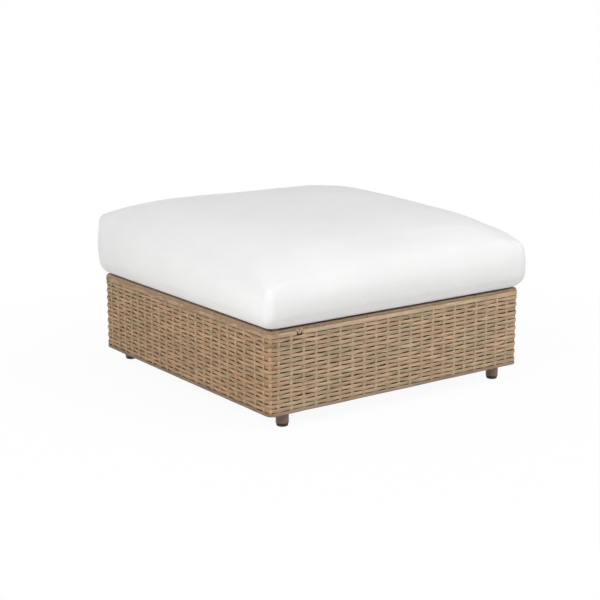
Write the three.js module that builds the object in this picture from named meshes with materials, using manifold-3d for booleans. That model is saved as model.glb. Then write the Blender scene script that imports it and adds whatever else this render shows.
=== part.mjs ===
// Outdoor ottoman footstool: a square woven base on four round feet, with a thick loose cushion.
// Millimetres, +Z up, origin on the floor under the middle of the base, front face towards -Y.

import * as THREE from "three";
import { mergeVertices } from "three/addons/utils/BufferGeometryUtils.js";
import Module from "manifold-3d";

const wasm = await Module();
wasm.setup();

// Base
const baseWidth = 940;
const baseDepth = 940;
const wickerHeight = 243;
const footHeight = 45.5;
const cornerRadius = 20;
const fitGap = 0.3;
const cutOverrun = 4;

// Woven sides
const weaveThickness = 7.5;
const weaveRelief = 2.4;
const weaveRowCount = 16;
const rowGapShare = 0.16;
const lowerBandHeight = 21;
const lowerBandEdge = 8;
const rimHeight = 19;
const rimTopThickness = 3.5;
const rimTopWidth = 34;
const rimEdgeRadius = 3;
const cornerTurnShares = [1, 0.5, 0];

// Welded frame
const railSize = 25;
const railWall = 1.6;
const midPostSize = 20;
const braceSize = 20;
const braceSpacing = 300;

// Webbing deck
const strapCount = 4;
const strapWidth = 60;
const strapThickness = 1.5;
const strapRamp = 18;
const strapEndMargin = 3;

// Feet
const footInsetX = 67.3;
const footInsetY = 36.6;
const footTubeDiameter = 38;
const footTubeWall = 2;
const footPlateThickness = 3;
const footPlateMargin = 5.5;
const insertFlange = 2;
const insertDepth = 20;
const stemDiameter = 8;
const stemLength = 30;
const padDiameter = 34;
const padHeight = 8;
const padFloor = 3;
const padChamfer = 1.5;
const roundSegments = 24;

// Cushion
const cushionOverhang = 16.8;
const cushionBulge = 6.3;
const cushionCornerRadius = 24;
const lowerEdgeInset = 35;
const lowerEdgeHeight = 43;
const upperEdgeRadius = 19;
const heightFrontLeft = 104;
const heightFrontRight = 131;
const heightBackLeft = 186;
const heightBackRight = 164;
const riseFront = 35;
const riseBack = 30;
const riseLeft = 48.5;
const riseRight = 54.8;
const riseCentre = 6.8;
const crownPower = 4.17;
const coverThickness = 2;
const ringSideShares = [-0.92, -0.75, -0.45, 0, 0.45, 0.75, 0.92];
const ringArcShares = [0, 1 / 3, 2 / 3, 1];
const undersideLoopShare = 0.5;
const lowerEdgeShares = [0, 1 / 3, 2 / 3, 1];
const bulgeShares = [0.5];
const upperEdgeShares = [0, 0.5, 1];
const topLoopShares = [0.9, 0.75, 0.5, 0.22];

// Zip in the cover's back
const zipMargin = 155;
const zipAngle = THREE.MathUtils.degToRad(62);
const tapeWidth = 20;
const tapeThickness = 1.2;
const tapeRecess = 0.5;
const coilWidth = 4;
const coilHeight = 1.5;
const stopLength = 3;
const sliderLength = 11;
const sliderWall = 1.6;
const lugThickness = 1.5;
const lugHeight = 3.6;
const pullBarDiameter = 2;
const pullWidth = 6;
const pullThickness = 1.2;
const pullLength = 24;
const smallSegments = 16;

// Worked-out levels and places
const wickerTop = footHeight + wickerHeight;
const railInset = weaveThickness + fitGap;
const postInset = cornerRadius - (cornerRadius - railInset) / Math.SQRT2;
const bottomRailBase = footHeight + footPlateThickness + fitGap;
const topRailTop = wickerTop - rimTopThickness - strapThickness - 2 * fitGap;
const topRailBase = topRailTop - railSize;
const cushionBase = wickerTop + fitGap;

const finish = {
  frame: new THREE.MeshStandardMaterial({ color: 0x6f6153, roughness: 0.5, metalness: 0.6 }),
  wicker: new THREE.MeshStandardMaterial({ color: 0xa08a70, roughness: 0.55, metalness: 0 }),
  rim: new THREE.MeshStandardMaterial({ color: 0xb79d80, roughness: 0.55, metalness: 0 }),
  webbing: new THREE.MeshStandardMaterial({ color: 0x33302d, roughness: 0.85, metalness: 0 }),
  foot: new THREE.MeshStandardMaterial({ color: 0x75604f, roughness: 0.45, metalness: 0.5 }),
  plastic: new THREE.MeshStandardMaterial({ color: 0x2b2724, roughness: 0.7, metalness: 0 }),
  steel: new THREE.MeshStandardMaterial({ color: 0xb9babb, roughness: 0.3, metalness: 1 }),
  canvas: new THREE.MeshStandardMaterial({ color: 0xf0efec, roughness: 0.9, metalness: 0 }),
  foam: new THREE.MeshStandardMaterial({ color: 0xe8e0c8, roughness: 0.95, metalness: 0 }),
  zipTape: new THREE.MeshStandardMaterial({ color: 0xe6e5e1, roughness: 0.9, metalness: 0 }),
};

const ottoman = new THREE.Group();

function addPiece(name, geometry, material, place = [0, 0, 0], parent = ottoman) {
  const mesh = new THREE.Mesh(geometry, material);
  mesh.name = name;
  mesh.position.set(...place);
  parent.add(mesh);
  return mesh;
}

// Solid helpers

function toManifold(geometry) {
  const bare = geometry.clone();
  bare.deleteAttribute("normal");
  bare.deleteAttribute("uv");
  const merged = mergeVertices(bare);
  return new wasm.Manifold(
    new wasm.Mesh({
      numProp: 3,
      vertProperties: new Float32Array(merged.attributes.position.array),
      triVerts: new Uint32Array(merged.index.array),
    }),
  );
}

function fromManifold(solid) {
  const mesh = solid.getMesh();
  const geometry = new THREE.BufferGeometry();
  geometry.setAttribute("position", new THREE.BufferAttribute(mesh.vertProperties, 3));
  geometry.setIndex(new THREE.BufferAttribute(mesh.triVerts, 1));
  geometry.computeVertexNormals();
  return geometry;
}

// A skin over rows of points, each row a closed loop of equal length, with its first and last row closed.
function skinLoops(loops, closeFirst, closeLast) {
  const corners = [];
  const count = loops[0].length;
  const triangle = (a, b, c) => {
    if (a.equals(b) || b.equals(c) || c.equals(a)) return;
    corners.push(a, b, c);
  };
  for (let row = 0; row + 1 < loops.length; row += 1) {
    for (let k = 0; k < count; k += 1) {
      const next = (k + 1) % count;
      const low = loops[row];
      const high = loops[row + 1];
      triangle(low[k], low[next], high[next]);
      triangle(low[k], high[next], high[k]);
    }
  }
  closeFirst(loops[0]).forEach(([a, b, c]) => triangle(a, c, b));
  closeLast(loops[loops.length - 1]).forEach(([a, b, c]) => triangle(a, b, c));
  const geometry = new THREE.BufferGeometry();
  geometry.setFromPoints(corners);
  const indexed = mergeVertices(geometry);
  indexed.computeVertexNormals();
  return indexed;
}

// A bar with a constant outline in its Y-Z plane, along X and centred on it.
function extrudeAlongX(shape, length) {
  const geometry = new THREE.ExtrudeGeometry(shape, { depth: length, bevelEnabled: false, steps: 1 });
  geometry.translate(0, 0, -length / 2);
  geometry.rotateY(Math.PI / 2);
  geometry.rotateX(Math.PI / 2);
  return geometry;
}

function polygon(points) {
  return new THREE.Shape(points.map(([x, y]) => new THREE.Vector2(x, y)));
}

function lathe(profile, segments) {
  const points = profile.map(([radius, height]) => new THREE.Vector2(radius, height));
  const geometry = new THREE.LatheGeometry(points, segments);
  geometry.rotateX(Math.PI / 2);
  return geometry;
}

// Frame of square tube

function squareTube(size, length) {
  const half = size / 2;
  const bore = half - railWall;
  const shape = polygon([[-half, -half], [half, -half], [half, half], [-half, half]]);
  const hole = polygon([[-bore, -bore], [-bore, bore], [bore, bore], [bore, -bore]]);
  shape.holes.push(hole);
  const geometry = new THREE.ExtrudeGeometry(shape, { depth: length, bevelEnabled: false, steps: 1 });
  geometry.translate(0, 0, -length / 2);
  return geometry;
}

function tubeAlong(axis, size, length) {
  const geometry = squareTube(size, length);
  if (axis === "x") geometry.rotateY(Math.PI / 2);
  if (axis === "y") geometry.rotateX(Math.PI / 2);
  return geometry;
}

function addFrame() {
  const railX = baseWidth / 2 - railInset - railSize / 2;
  const railY = baseDepth / 2 - railInset - railSize / 2;
  const railLengthX = baseWidth - 2 * (postInset + railSize + fitGap);
  const railLengthY = baseDepth - 2 * (postInset + railSize + fitGap);
  const levels = { bottom: bottomRailBase + railSize / 2, top: topRailBase + railSize / 2 };
  for (const [level, z] of Object.entries(levels)) {
    for (const [side, sign] of [["front", -1], ["back", 1]]) {
      const rail = tubeAlong("x", railSize, railLengthX);
      addPiece(`frame_${level}_rail_${side}`, rail, finish.frame, [0, sign * railY, z]);
    }
    for (const [side, sign] of [["left", -1], ["right", 1]]) {
      const rail = tubeAlong("y", railSize, railLengthY);
      addPiece(`frame_${level}_rail_${side}`, rail, finish.frame, [sign * railX, 0, z]);
    }
  }

  const cornerX = baseWidth / 2 - postInset - railSize / 2;
  const cornerY = baseDepth / 2 - postInset - railSize / 2;
  const cornerLength = topRailTop - bottomRailBase;
  for (const [end, signY] of [["front", -1], ["back", 1]]) {
    for (const [side, signX] of [["left", -1], ["right", 1]]) {
      const place = [signX * cornerX, signY * cornerY, bottomRailBase + cornerLength / 2];
      const post = squareTube(railSize, cornerLength);
      addPiece(`frame_corner_post_${end}_${side}`, post, finish.frame, place);
    }
  }

  const postBase = bottomRailBase + railSize + fitGap;
  const postLength = topRailBase - fitGap - postBase;
  const postMiddle = postBase + postLength / 2;
  const midX = baseWidth / 2 - railInset - midPostSize / 2;
  const midY = baseDepth / 2 - railInset - midPostSize / 2;
  const midPlaces = { front: [0, -midY], back: [0, midY], left: [-midX, 0], right: [midX, 0] };
  for (const [side, [x, y]] of Object.entries(midPlaces)) {
    addPiece(`frame_mid_post_${side}`, squareTube(midPostSize, postLength), finish.frame, [x, y, postMiddle]);
  }

  const braceLength = baseDepth - 2 * (railInset + railSize + fitGap);
  for (const [side, sign] of [["left", -1], ["right", 1]]) {
    const place = [(sign * braceSpacing) / 2, 0, topRailBase + braceSize / 2];
    addPiece(`frame_seat_brace_${side}`, tubeAlong("y", braceSize, braceLength), finish.frame, place);
  }
}

// Woven sides and wrapped rim: one outline carried along a side and round half of each corner

function sideLoop(profile, half, sign, turn, atMitre) {
  return profile.map(([depth, z]) => {
    const radius = cornerRadius - depth;
    const round = radius > 0;
    const along = round ? half - cornerRadius + radius * Math.sin(turn) : half - depth;
    const inward = round ? cornerRadius - radius * Math.cos(turn) : depth;
    const shift = atMitre || !round ? fitGap / Math.SQRT2 : 0;
    return new THREE.Vector3(sign * (along - shift), inward, z);
  });
}

function sideGeometry(outerToInner, length) {
  const profile = outerToInner.toReversed();
  const half = length / 2;
  const turns = cornerTurnShares.map((share) => (share * Math.PI) / 4);
  const left = turns.map((turn, k) => sideLoop(profile, half, -1, turn, k === 0));
  const right = turns.map((turn, k) => sideLoop(profile, half, 1, turn, k === 0)).reverse();
  const outline = profile.map(([depth, z]) => new THREE.Vector2(depth, z));
  const faces = THREE.ShapeUtils.triangulateShape(outline, []);
  const close = (loop) => faces.map(([a, b, c]) => [loop[a], loop[b], loop[c]]);
  return skinLoops([...left, ...right], close, close);
}

function addSide(name, profile, material, turn) {
  const acrossX = Math.abs(Math.sin(turn)) < 0.5;
  const length = acrossX ? baseWidth : baseDepth;
  const distance = (acrossX ? baseDepth : baseWidth) / 2;
  const geometry = sideGeometry(profile, length);
  geometry.translate(0, -distance, 0);
  geometry.rotateZ(turn);
  addPiece(name, geometry, material);
}

function panelProfile() {
  const top = wickerTop - rimHeight - fitGap;
  const bandTop = footHeight + lowerBandHeight;
  const pitch = (top - bandTop) / weaveRowCount;
  const gap = pitch * rowGapShare;
  const profile = [[weaveRelief, footHeight], [0, footHeight + weaveRelief]];
  profile.push([0, footHeight + lowerBandEdge - weaveRelief / 2]);
  profile.push([weaveRelief, footHeight + lowerBandEdge]);
  profile.push([0, footHeight + lowerBandEdge + weaveRelief / 2]);
  profile.push([0, bandTop - weaveRelief]);
  for (let row = 0; row < weaveRowCount; row += 1) {
    const low = bandTop + row * pitch;
    profile.push([weaveRelief, low]);
    profile.push([0, low + pitch / 2 - gap]);
    profile.push([0, low + pitch / 2 + gap]);
  }
  profile.push([weaveRelief, top], [weaveThickness, top], [weaveThickness, footHeight]);
  return profile;
}

function rimProfile() {
  const low = wickerTop - rimHeight;
  const under = wickerTop - rimTopThickness;
  const bevel = rimEdgeRadius * (1 - Math.SQRT1_2);
  return [
    [rimEdgeRadius, low],
    [0, low + rimEdgeRadius],
    [0, wickerTop - rimEdgeRadius],
    [bevel, wickerTop - bevel],
    [rimEdgeRadius, wickerTop],
    [rimTopWidth, wickerTop],
    [rimTopWidth, under],
    [weaveThickness, under],
    [weaveThickness, low],
  ];
}

function addWicker() {
  const sides = { front: 0, right: Math.PI / 2, back: Math.PI, left: -Math.PI / 2 };
  for (const [side, turn] of Object.entries(sides)) {
    addSide(`wicker_panel_${side}`, panelProfile(), finish.wicker, turn);
    addSide(`wicker_rim_${side}`, rimProfile(), finish.rim, turn);
  }
}

// Webbing deck: flat straps front to back, and straps from side to side woven over and under them

function strapPlace(index, span) {
  return ((index + 0.5) / strapCount - 0.5) * span;
}

function addDeck() {
  const innerX = baseWidth - 2 * (railInset + railSize);
  const innerY = baseDepth - 2 * (railInset + railSize);
  const endX = baseWidth / 2 - railInset - strapEndMargin;
  const endY = baseDepth / 2 - railInset - strapEndMargin;
  const base = topRailTop + fitGap;
  const step = strapThickness + fitGap;
  for (let k = 0; k < strapCount; k += 1) {
    const flat = new THREE.BoxGeometry(strapWidth, 2 * endY, strapThickness);
    const place = [strapPlace(k, innerX), 0, base + strapThickness / 2];
    addPiece(`deck_strap_lengthwise_${k + 1}`, flat, finish.webbing, place);
  }
  for (let row = 0; row < strapCount; row += 1) {
    const low = [[-endX, 0]];
    for (let k = 0; k < strapCount; k += 1) {
      const lift = (k + row) % 2 === 0 ? step : -step;
      const middle = strapPlace(k, innerX);
      const reach = strapWidth / 2 + fitGap;
      low.push([middle - reach - strapRamp, 0], [middle - reach, lift]);
      low.push([middle + reach, lift], [middle + reach + strapRamp, 0]);
    }
    low.push([endX, 0]);
    const high = low.map(([x, z]) => [x, z + strapThickness]).reverse();
    const depth = { depth: strapWidth, bevelEnabled: false, steps: 1 };
    const woven = new THREE.ExtrudeGeometry(polygon([...low, ...high]), depth);
    woven.translate(0, 0, -strapWidth / 2);
    woven.rotateX(Math.PI / 2);
    addPiece(`deck_strap_crosswise_${row + 1}`, woven, finish.webbing, [0, strapPlace(row, innerY), base]);
  }
}

// Feet: a plate under the rails, a tube, a threaded plug and a screw-in levelling glide

function addFoot(name, signX, signY) {
  const foot = new THREE.Group();
  const footX = baseWidth / 2 - footInsetX;
  const footY = baseDepth / 2 - footInsetY;
  foot.position.set(signX * footX, signY * footY, 0);
  ottoman.add(foot);

  const tubeRadius = footTubeDiameter / 2;
  const reach = tubeRadius + footPlateMargin;
  const lengthX = footInsetX - postInset + reach;
  const lengthY = footInsetY - postInset + reach;
  const plate = new THREE.BoxGeometry(lengthX, lengthY, footPlateThickness);
  const plateX = signX * (lengthX / 2 - reach);
  const plateY = signY * (lengthY / 2 - reach);
  const plateZ = footHeight + footPlateThickness / 2;
  addPiece(`foot_plate_${name}`, plate, finish.frame, [plateX, plateY, plateZ], foot);

  const insertBase = padHeight + fitGap;
  const tubeBase = insertBase + insertFlange + fitGap;
  const tubeTop = footHeight - fitGap;
  const boreRadius = tubeRadius - footTubeWall;
  const tube = lathe(
    [
      [boreRadius, tubeBase],
      [tubeRadius, tubeBase],
      [tubeRadius, tubeTop],
      [boreRadius, tubeTop],
      [boreRadius, tubeBase],
    ],
    roundSegments,
  );
  addPiece(`foot_tube_${name}`, tube, finish.foot, [0, 0, 0], foot);

  const threadRadius = stemDiameter / 2 + fitGap;
  const plugRadius = boreRadius * Math.cos(Math.PI / roundSegments) - fitGap;
  const plug = lathe(
    [
      [threadRadius, insertBase],
      [tubeRadius, insertBase],
      [tubeRadius, insertBase + insertFlange],
      [plugRadius, insertBase + insertFlange],
      [plugRadius, insertBase + insertDepth],
      [threadRadius, insertBase + insertDepth],
      [threadRadius, insertBase],
    ],
    roundSegments,
  );
  addPiece(`foot_insert_${name}`, plug, finish.plastic, [0, 0, 0], foot);

  const padRadius = padDiameter / 2;
  const pad = lathe(
    [
      [0, 0],
      [padRadius - padChamfer, 0],
      [padRadius, padChamfer],
      [padRadius, padHeight],
      [threadRadius, padHeight],
      [threadRadius, padFloor - fitGap],
      [0, padFloor - fitGap],
    ],
    roundSegments,
  );
  addPiece(`glide_pad_${name}`, pad, finish.plastic, [0, 0, 0], foot);

  const stem = new THREE.CylinderGeometry(stemDiameter / 2, stemDiameter / 2, stemLength, roundSegments);
  stem.rotateX(Math.PI / 2);
  addPiece(`glide_stem_${name}`, stem, finish.steel, [0, 0, padFloor + stemLength / 2], foot);
}

function addFeet() {
  for (const [end, signY] of [["front", -1], ["back", 1]]) {
    for (const [side, signX] of [["left", -1], ["right", 1]]) {
      addFoot(`${end}_${side}`, signX, signY);
    }
  }
}

// Cushion: a loose, overfilled form whose top is higher at the back left than at the front

const cushionHalfX = baseWidth / 2 + cushionOverhang;
const cushionHalfY = baseDepth / 2 + cushionOverhang;

function crownHeight(x, y) {
  const u = THREE.MathUtils.clamp(x / cushionHalfX, -1, 1);
  const w = THREE.MathUtils.clamp(y / cushionHalfY, -1, 1);
  const right = (1 + u) / 2;
  const back = (1 + w) / 2;
  const front = heightFrontLeft * (1 - right) + heightFrontRight * right;
  const rear = heightBackLeft * (1 - right) + heightBackRight * right;
  const fullX = 1 - Math.abs(u) ** crownPower;
  const fullY = 1 - Math.abs(w) ** crownPower;
  const edges = fullX * (riseFront * (1 - back) + riseBack * back);
  const sides = fullY * (riseLeft * (1 - right) + riseRight * right);
  return front * (1 - back) + rear * back + edges + sides + riseCentre * fullX * fullY;
}

// Points round a rounded rectangle, anticlockwise seen from above
function ringPoints(halfX, halfY, radius) {
  const points = [];
  for (let side = 0; side < 4; side += 1) {
    const along = side % 2 === 0 ? halfX : halfY;
    const across = side % 2 === 0 ? halfY : halfX;
    const turn = (side * Math.PI) / 2;
    const local = ringSideShares.map((share) => [share * (along - radius), -across]);
    for (const share of ringArcShares) {
      const angle = (share * Math.PI) / 2;
      local.push([along - radius + radius * Math.sin(angle), -across + radius * (1 - Math.cos(angle))]);
    }
    for (const [x, y] of local) {
      points.push([x * Math.cos(turn) - y * Math.sin(turn), x * Math.sin(turn) + y * Math.cos(turn)]);
    }
  }
  return points;
}

function cushionForm(inset) {
  const radius = cushionCornerRadius - inset;
  const baseLevel = cushionBase + inset;
  const lowInset = lowerEdgeInset - inset;
  const lowHeight = lowerEdgeHeight - inset;
  const upRadius = upperEdgeRadius - inset;
  const topLevel = (x, y) => wickerTop + crownHeight(x, y) - inset;
  const loops = [];
  const addLoop = (shrink, scale, level) => {
    const halfX = (cushionHalfX - inset - shrink) * scale;
    const halfY = (cushionHalfY - inset - shrink) * scale;
    const ring = ringPoints(halfX, halfY, radius * scale);
    loops.push(ring.map(([x, y]) => new THREE.Vector3(x, y, level(x, y))));
  };

  addLoop(lowInset, undersideLoopShare, () => baseLevel);
  for (const share of lowerEdgeShares) {
    const angle = (share * Math.PI) / 2;
    const level = baseLevel + lowHeight * (1 - Math.cos(angle));
    addLoop(lowInset * (1 - Math.sin(angle)), 1, () => level);
  }
  for (const share of bulgeShares) {
    const low = baseLevel + lowHeight;
    const level = (x, y) => low + (topLevel(x, y) - upRadius - low) * share;
    addLoop(-cushionBulge * Math.sin(Math.PI * share), 1, level);
  }
  for (const share of upperEdgeShares) {
    const angle = (share * Math.PI) / 2;
    const drop = upRadius * (1 - Math.sin(angle));
    addLoop(upRadius * (1 - Math.cos(angle)), 1, (x, y) => topLevel(x, y) - drop);
  }
  for (const scale of topLoopShares) addLoop(upRadius, scale, topLevel);

  const fan = (level) => (loop) => {
    const middle = new THREE.Vector3(0, 0, level);
    return loop.map((point, k) => [middle, point, loop[(k + 1) % loop.length]]);
  };
  return skinLoops(loops, fan(baseLevel), fan(topLevel(0, 0)));
}

// The zip lies on the rounding of the cover's lower back edge; its own frame leans with that rounding.
const zipLean = Math.atan2(lowerEdgeInset * Math.cos(zipAngle), lowerEdgeHeight * Math.sin(zipAngle));
const zipLength = baseWidth - 2 * zipMargin;
const zipPlace = [
  0,
  cushionHalfY - lowerEdgeInset * (1 - Math.sin(zipAngle)),
  cushionBase + lowerEdgeHeight * (1 - Math.cos(zipAngle)),
];

function addCover() {
  const slot = new THREE.BoxGeometry(
    zipLength + 2 * fitGap,
    2 * (coverThickness + cutOverrun),
    tapeWidth + 2 * fitGap,
  );
  slot.rotateX(-zipLean);
  slot.translate(...zipPlace);
  const outer = toManifold(cushionForm(0));
  const inner = toManifold(cushionForm(coverThickness));
  const cover = outer.subtract(inner).subtract(toManifold(slot));
  addPiece("cushion_cover", fromManifold(cover), finish.canvas);
  addPiece("cushion_core", cushionForm(coverThickness + fitGap), finish.foam);
}

function addZip() {
  const zip = new THREE.Group();
  zip.position.set(...zipPlace);
  zip.rotation.x = -zipLean;
  ottoman.add(zip);

  const face = -tapeRecess;
  const halfTape = tapeWidth / 2;
  const halfCoil = coilWidth / 2;
  const coilTop = face + coilHeight;
  const tapeOutline = polygon([
    [face - tapeThickness, -halfTape],
    [face, -halfTape],
    [face, -halfCoil],
    [coilTop, -halfCoil / 2],
    [coilTop, halfCoil / 2],
    [face, halfCoil],
    [face, halfTape],
    [face - tapeThickness, halfTape],
  ]);
  const tape = toManifold(extrudeAlongX(tapeOutline, zipLength));
  const stopX = zipLength / 2 - stopLength;
  const endStop = (x) => {
    const block = new THREE.BoxGeometry(stopLength, 2 * coilHeight, coilWidth);
    block.translate(x, face + fitGap, 0);
    return toManifold(block);
  };
  const stopped = tape.add(endStop(-stopX)).add(endStop(stopX));
  addPiece("zip_tape", fromManifold(stopped), finish.zipTape, [0, 0, 0], zip);

  const sliderX = -(zipLength / 2 - 2 * stopLength - sliderLength / 2);
  const innerHalf = halfCoil + fitGap;
  const outerHalf = innerHalf + sliderWall;
  const skirt = face + fitGap;
  const ceiling = coilTop + fitGap;
  const roof = ceiling + sliderWall;
  const sliderOutline = polygon([
    [skirt, -outerHalf],
    [roof, -outerHalf],
    [roof, outerHalf],
    [skirt, outerHalf],
    [skirt, innerHalf],
    [ceiling, innerHalf],
    [ceiling, -innerHalf],
    [skirt, -innerHalf],
  ]);
  const barRadius = pullBarDiameter / 2;
  const barLevel = roof + lugHeight / 2;
  const lugX = (pullWidth + lugThickness) / 2 + fitGap;
  let slider = toManifold(extrudeAlongX(sliderOutline, sliderLength));
  for (const sign of [-1, 1]) {
    const lug = new THREE.BoxGeometry(lugThickness, lugHeight + sliderWall, 2 * innerHalf);
    lug.translate(sign * lugX, roof + (lugHeight - sliderWall) / 2, 0);
    slider = slider.add(toManifold(lug));
  }
  const eyeRadius = (barRadius + fitGap) / Math.cos(Math.PI / smallSegments);
  const eye = new THREE.CylinderGeometry(eyeRadius, eyeRadius, 2 * sliderLength, smallSegments);
  eye.rotateZ(Math.PI / 2);
  eye.translate(0, barLevel, 0);
  slider = slider.subtract(toManifold(eye));
  addPiece("zip_slider", fromManifold(slider), finish.steel, [sliderX, 0, 0], zip);

  // The pull hangs straight down from its bar, so its frame stands upright again.
  const upright = new THREE.Group();
  upright.position.set(sliderX, barLevel, 0);
  upright.rotation.x = zipLean;
  zip.add(upright);
  const barLength = pullWidth + 2 * (lugThickness + fitGap);
  const bar = new THREE.CylinderGeometry(barRadius, barRadius, barLength, smallSegments);
  bar.rotateZ(Math.PI / 2);
  const tab = new THREE.Shape();
  const halfPull = pullWidth / 2;
  tab.moveTo(-halfPull, 0);
  tab.lineTo(-halfPull, -(pullLength - halfPull));
  tab.absarc(0, -(pullLength - halfPull), halfPull, Math.PI, 2 * Math.PI, false);
  tab.lineTo(halfPull, 0);
  const thickness = { depth: pullThickness, bevelEnabled: false, steps: 1, curveSegments: smallSegments / 2 };
  const tabSolid = new THREE.ExtrudeGeometry(tab, thickness);
  tabSolid.translate(0, 0, -pullThickness / 2);
  tabSolid.rotateX(Math.PI / 2);
  const pull = toManifold(bar).add(toManifold(tabSolid));
  addPiece("zip_pull", fromManifold(pull), finish.steel, [0, 0, 0], upright);
}

addFrame();
addWicker();
addDeck();
addFeet();
addCover();
addZip();

export default ottoman;
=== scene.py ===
"""Outdoor ottoman footstool: a wicker base woven strand by strand, and a thick white cushion.

Metres, +Z up, origin on the floor under the middle of the base, front face towards -Y.
"""

import math

import bpy
import numpy as np
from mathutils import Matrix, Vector, kdtree


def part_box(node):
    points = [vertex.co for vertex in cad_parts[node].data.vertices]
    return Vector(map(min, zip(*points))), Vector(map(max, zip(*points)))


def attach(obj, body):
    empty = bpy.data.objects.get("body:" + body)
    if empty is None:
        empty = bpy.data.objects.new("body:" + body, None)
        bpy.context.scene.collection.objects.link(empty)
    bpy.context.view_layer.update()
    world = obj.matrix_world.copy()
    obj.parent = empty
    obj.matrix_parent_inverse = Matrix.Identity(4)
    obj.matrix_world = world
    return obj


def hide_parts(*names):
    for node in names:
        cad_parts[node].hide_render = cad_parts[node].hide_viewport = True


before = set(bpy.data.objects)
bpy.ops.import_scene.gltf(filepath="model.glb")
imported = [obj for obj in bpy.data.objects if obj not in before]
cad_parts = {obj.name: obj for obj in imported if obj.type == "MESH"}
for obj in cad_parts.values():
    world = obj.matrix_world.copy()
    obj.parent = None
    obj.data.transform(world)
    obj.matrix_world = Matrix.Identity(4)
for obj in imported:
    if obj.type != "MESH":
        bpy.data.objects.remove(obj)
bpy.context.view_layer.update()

MM = 0.001
TAU = 2 * math.pi
SIDE_NAMES = ("front", "right", "back", "left")
RAILS = (("front", 0), ("back", 0), ("left", 1), ("right", 1))
CORNERS = [f"{end}_{side}" for end in ("front", "back") for side in ("left", "right")]

# Sizes and levels taken from the frame
rim_low, rim_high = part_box("wicker_rim_front")
cover_low, cover_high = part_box("cushion_cover")
STRAND_STAND = 3 * MM
BASE_HALF = -rim_low.y + STRAND_STAND
WICKER_TOP = rim_high.z
RIM_BOTTOM = rim_low.z
RIM_WIDTH = rim_high.y - rim_low.y + STRAND_STAND
PANEL_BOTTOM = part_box("wicker_panel_front")[0].z
CUSHION_BASE = cover_low.z

# Weave
CORNER_RADIUS = 20 * MM
CELLS_PER_SIDE = 22
STAKE_WIDTH = 9.6 * MM
STAKE_THICKNESS = 1.8 * MM
STAKE_SWAY = 0.8 * MM
STAKE_TOP_DROP = 11 * MM
STAKE_FOLD = 3 * MM
STAKE_FOLD_REACH = 32 * MM
STAKE_FOLD_RISE = 1.6 * MM
STAKE_FOOT_RISE = 1.4 * MM
CORNER_STAKE_DEPTH = 1 * MM
STRAND_WIDTH = 9.7 * MM
STRAND_THICKNESS = 3.1 * MM
STRAND_SWAY = 1.7 * MM
STAKE_SPREAD = 0.17
FRONT_SHIFT_LEFT = 11 * MM
FRONT_SHIFT_RIGHT = 7 * MM
LEFT_END_SHIFT = 10 * MM
LEFT_END_STAKES = 2
ROW_COUNT = 17
TOP_ROW_DROP = 28.3 * MM
BOTTOM_ROW_DROP = 228.3 * MM
ROW_PITCH = (BOTTOM_ROW_DROP - TOP_ROW_DROP) / (ROW_COUNT - 1)
EDGE_HEIGHT = 9.6 * MM
EDGE_THICKNESS = 3.6 * MM
EDGE_DEPTH = 2.1 * MM
EDGE_DROP = 1.6 * MM
STEPS_PER_SPAN = 10
# Painted shade on the left side of the base: where it starts and where it is full, in x
LEFT_SHADE_START = -430 * MM
LEFT_SHADE_FULL = -462 * MM
STRAND_POINTS = 12
STAKE_DEPTH = STRAND_THICKNESS / 2 + STRAND_SWAY + 0.05 * MM

# Outline of the base, measured along its outer face
STRAIGHT = 2 * (BASE_HALF - CORNER_RADIUS)
ARC_LENGTH = CORNER_RADIUS * TAU / 4
SIDE_LENGTH = STRAIGHT + ARC_LENGTH
RING_LENGTH = 4 * SIDE_LENGTH
STAKE_SPACING = 2 * BASE_HALF / CELLS_PER_SIDE

# Rim: its flat strand, the V tie over the strand's joint, and the wraps
RIM_STRAND_DROP = 14.5 * MM
RIM_STRAND_WIDTH = 13 * MM
RIM_STRAND_THICKNESS = 1.8 * MM
RIM_STRAND_DEPTH = 0.9 * MM
TIE_PLACE = 103 * MM
TIE_GAP = 19 * MM
TIE_REACH = 9.5 * MM
TIE_TOP = 3.5 * MM
TIE_BOTTOM = 17 * MM
TIE_WIDTH = 5.2 * MM
TIE_THICKNESS = 1.6 * MM
TIE_DEPTHS = (0.7 * MM, 1.7 * MM)
TIE_TUCK = 2.4 * MM
TIE_STEPS = 14
WRAP_WIDTH = 7.5 * MM
WRAP_THICKNESS = 2.2 * MM
WRAP_GAP = 0.7 * MM
WRAP_DEPTH = 2.7 * MM
WRAP_DIP = 1.2 * MM
WRAP_TURN = 4.2 * MM
WRAP_INNER_TURN = 1.6 * MM
WRAP_FOOT_RISE = 0.8 * MM
WRAP_LEG_RISE = 1 * MM
WRAP_STRAP_GAP = 0.6 * MM
WRAP_UNEVEN = (0.12 * MM, 0.08 * MM)
WRAP_SECTION = {"columns": 8, "squareness": 0.85}
WRAP_TIP = 0.4 * MM
CORNER_WRAPS = 5
CORNER_WRAP_END = 1.5 * MM

# Lining behind the weave, dark brown as painted shade of the base's inside
LINING_GAP = 0.05 * MM
LINING_THICKNESS = 0.2 * MM
LINING_RISE = 3.2 * MM
LINING_DROP = 4.5 * MM
LINING_LIP_DEPTH = 5.2 * MM
LINING_LIP_THICKNESS = 0.4 * MM

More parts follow.
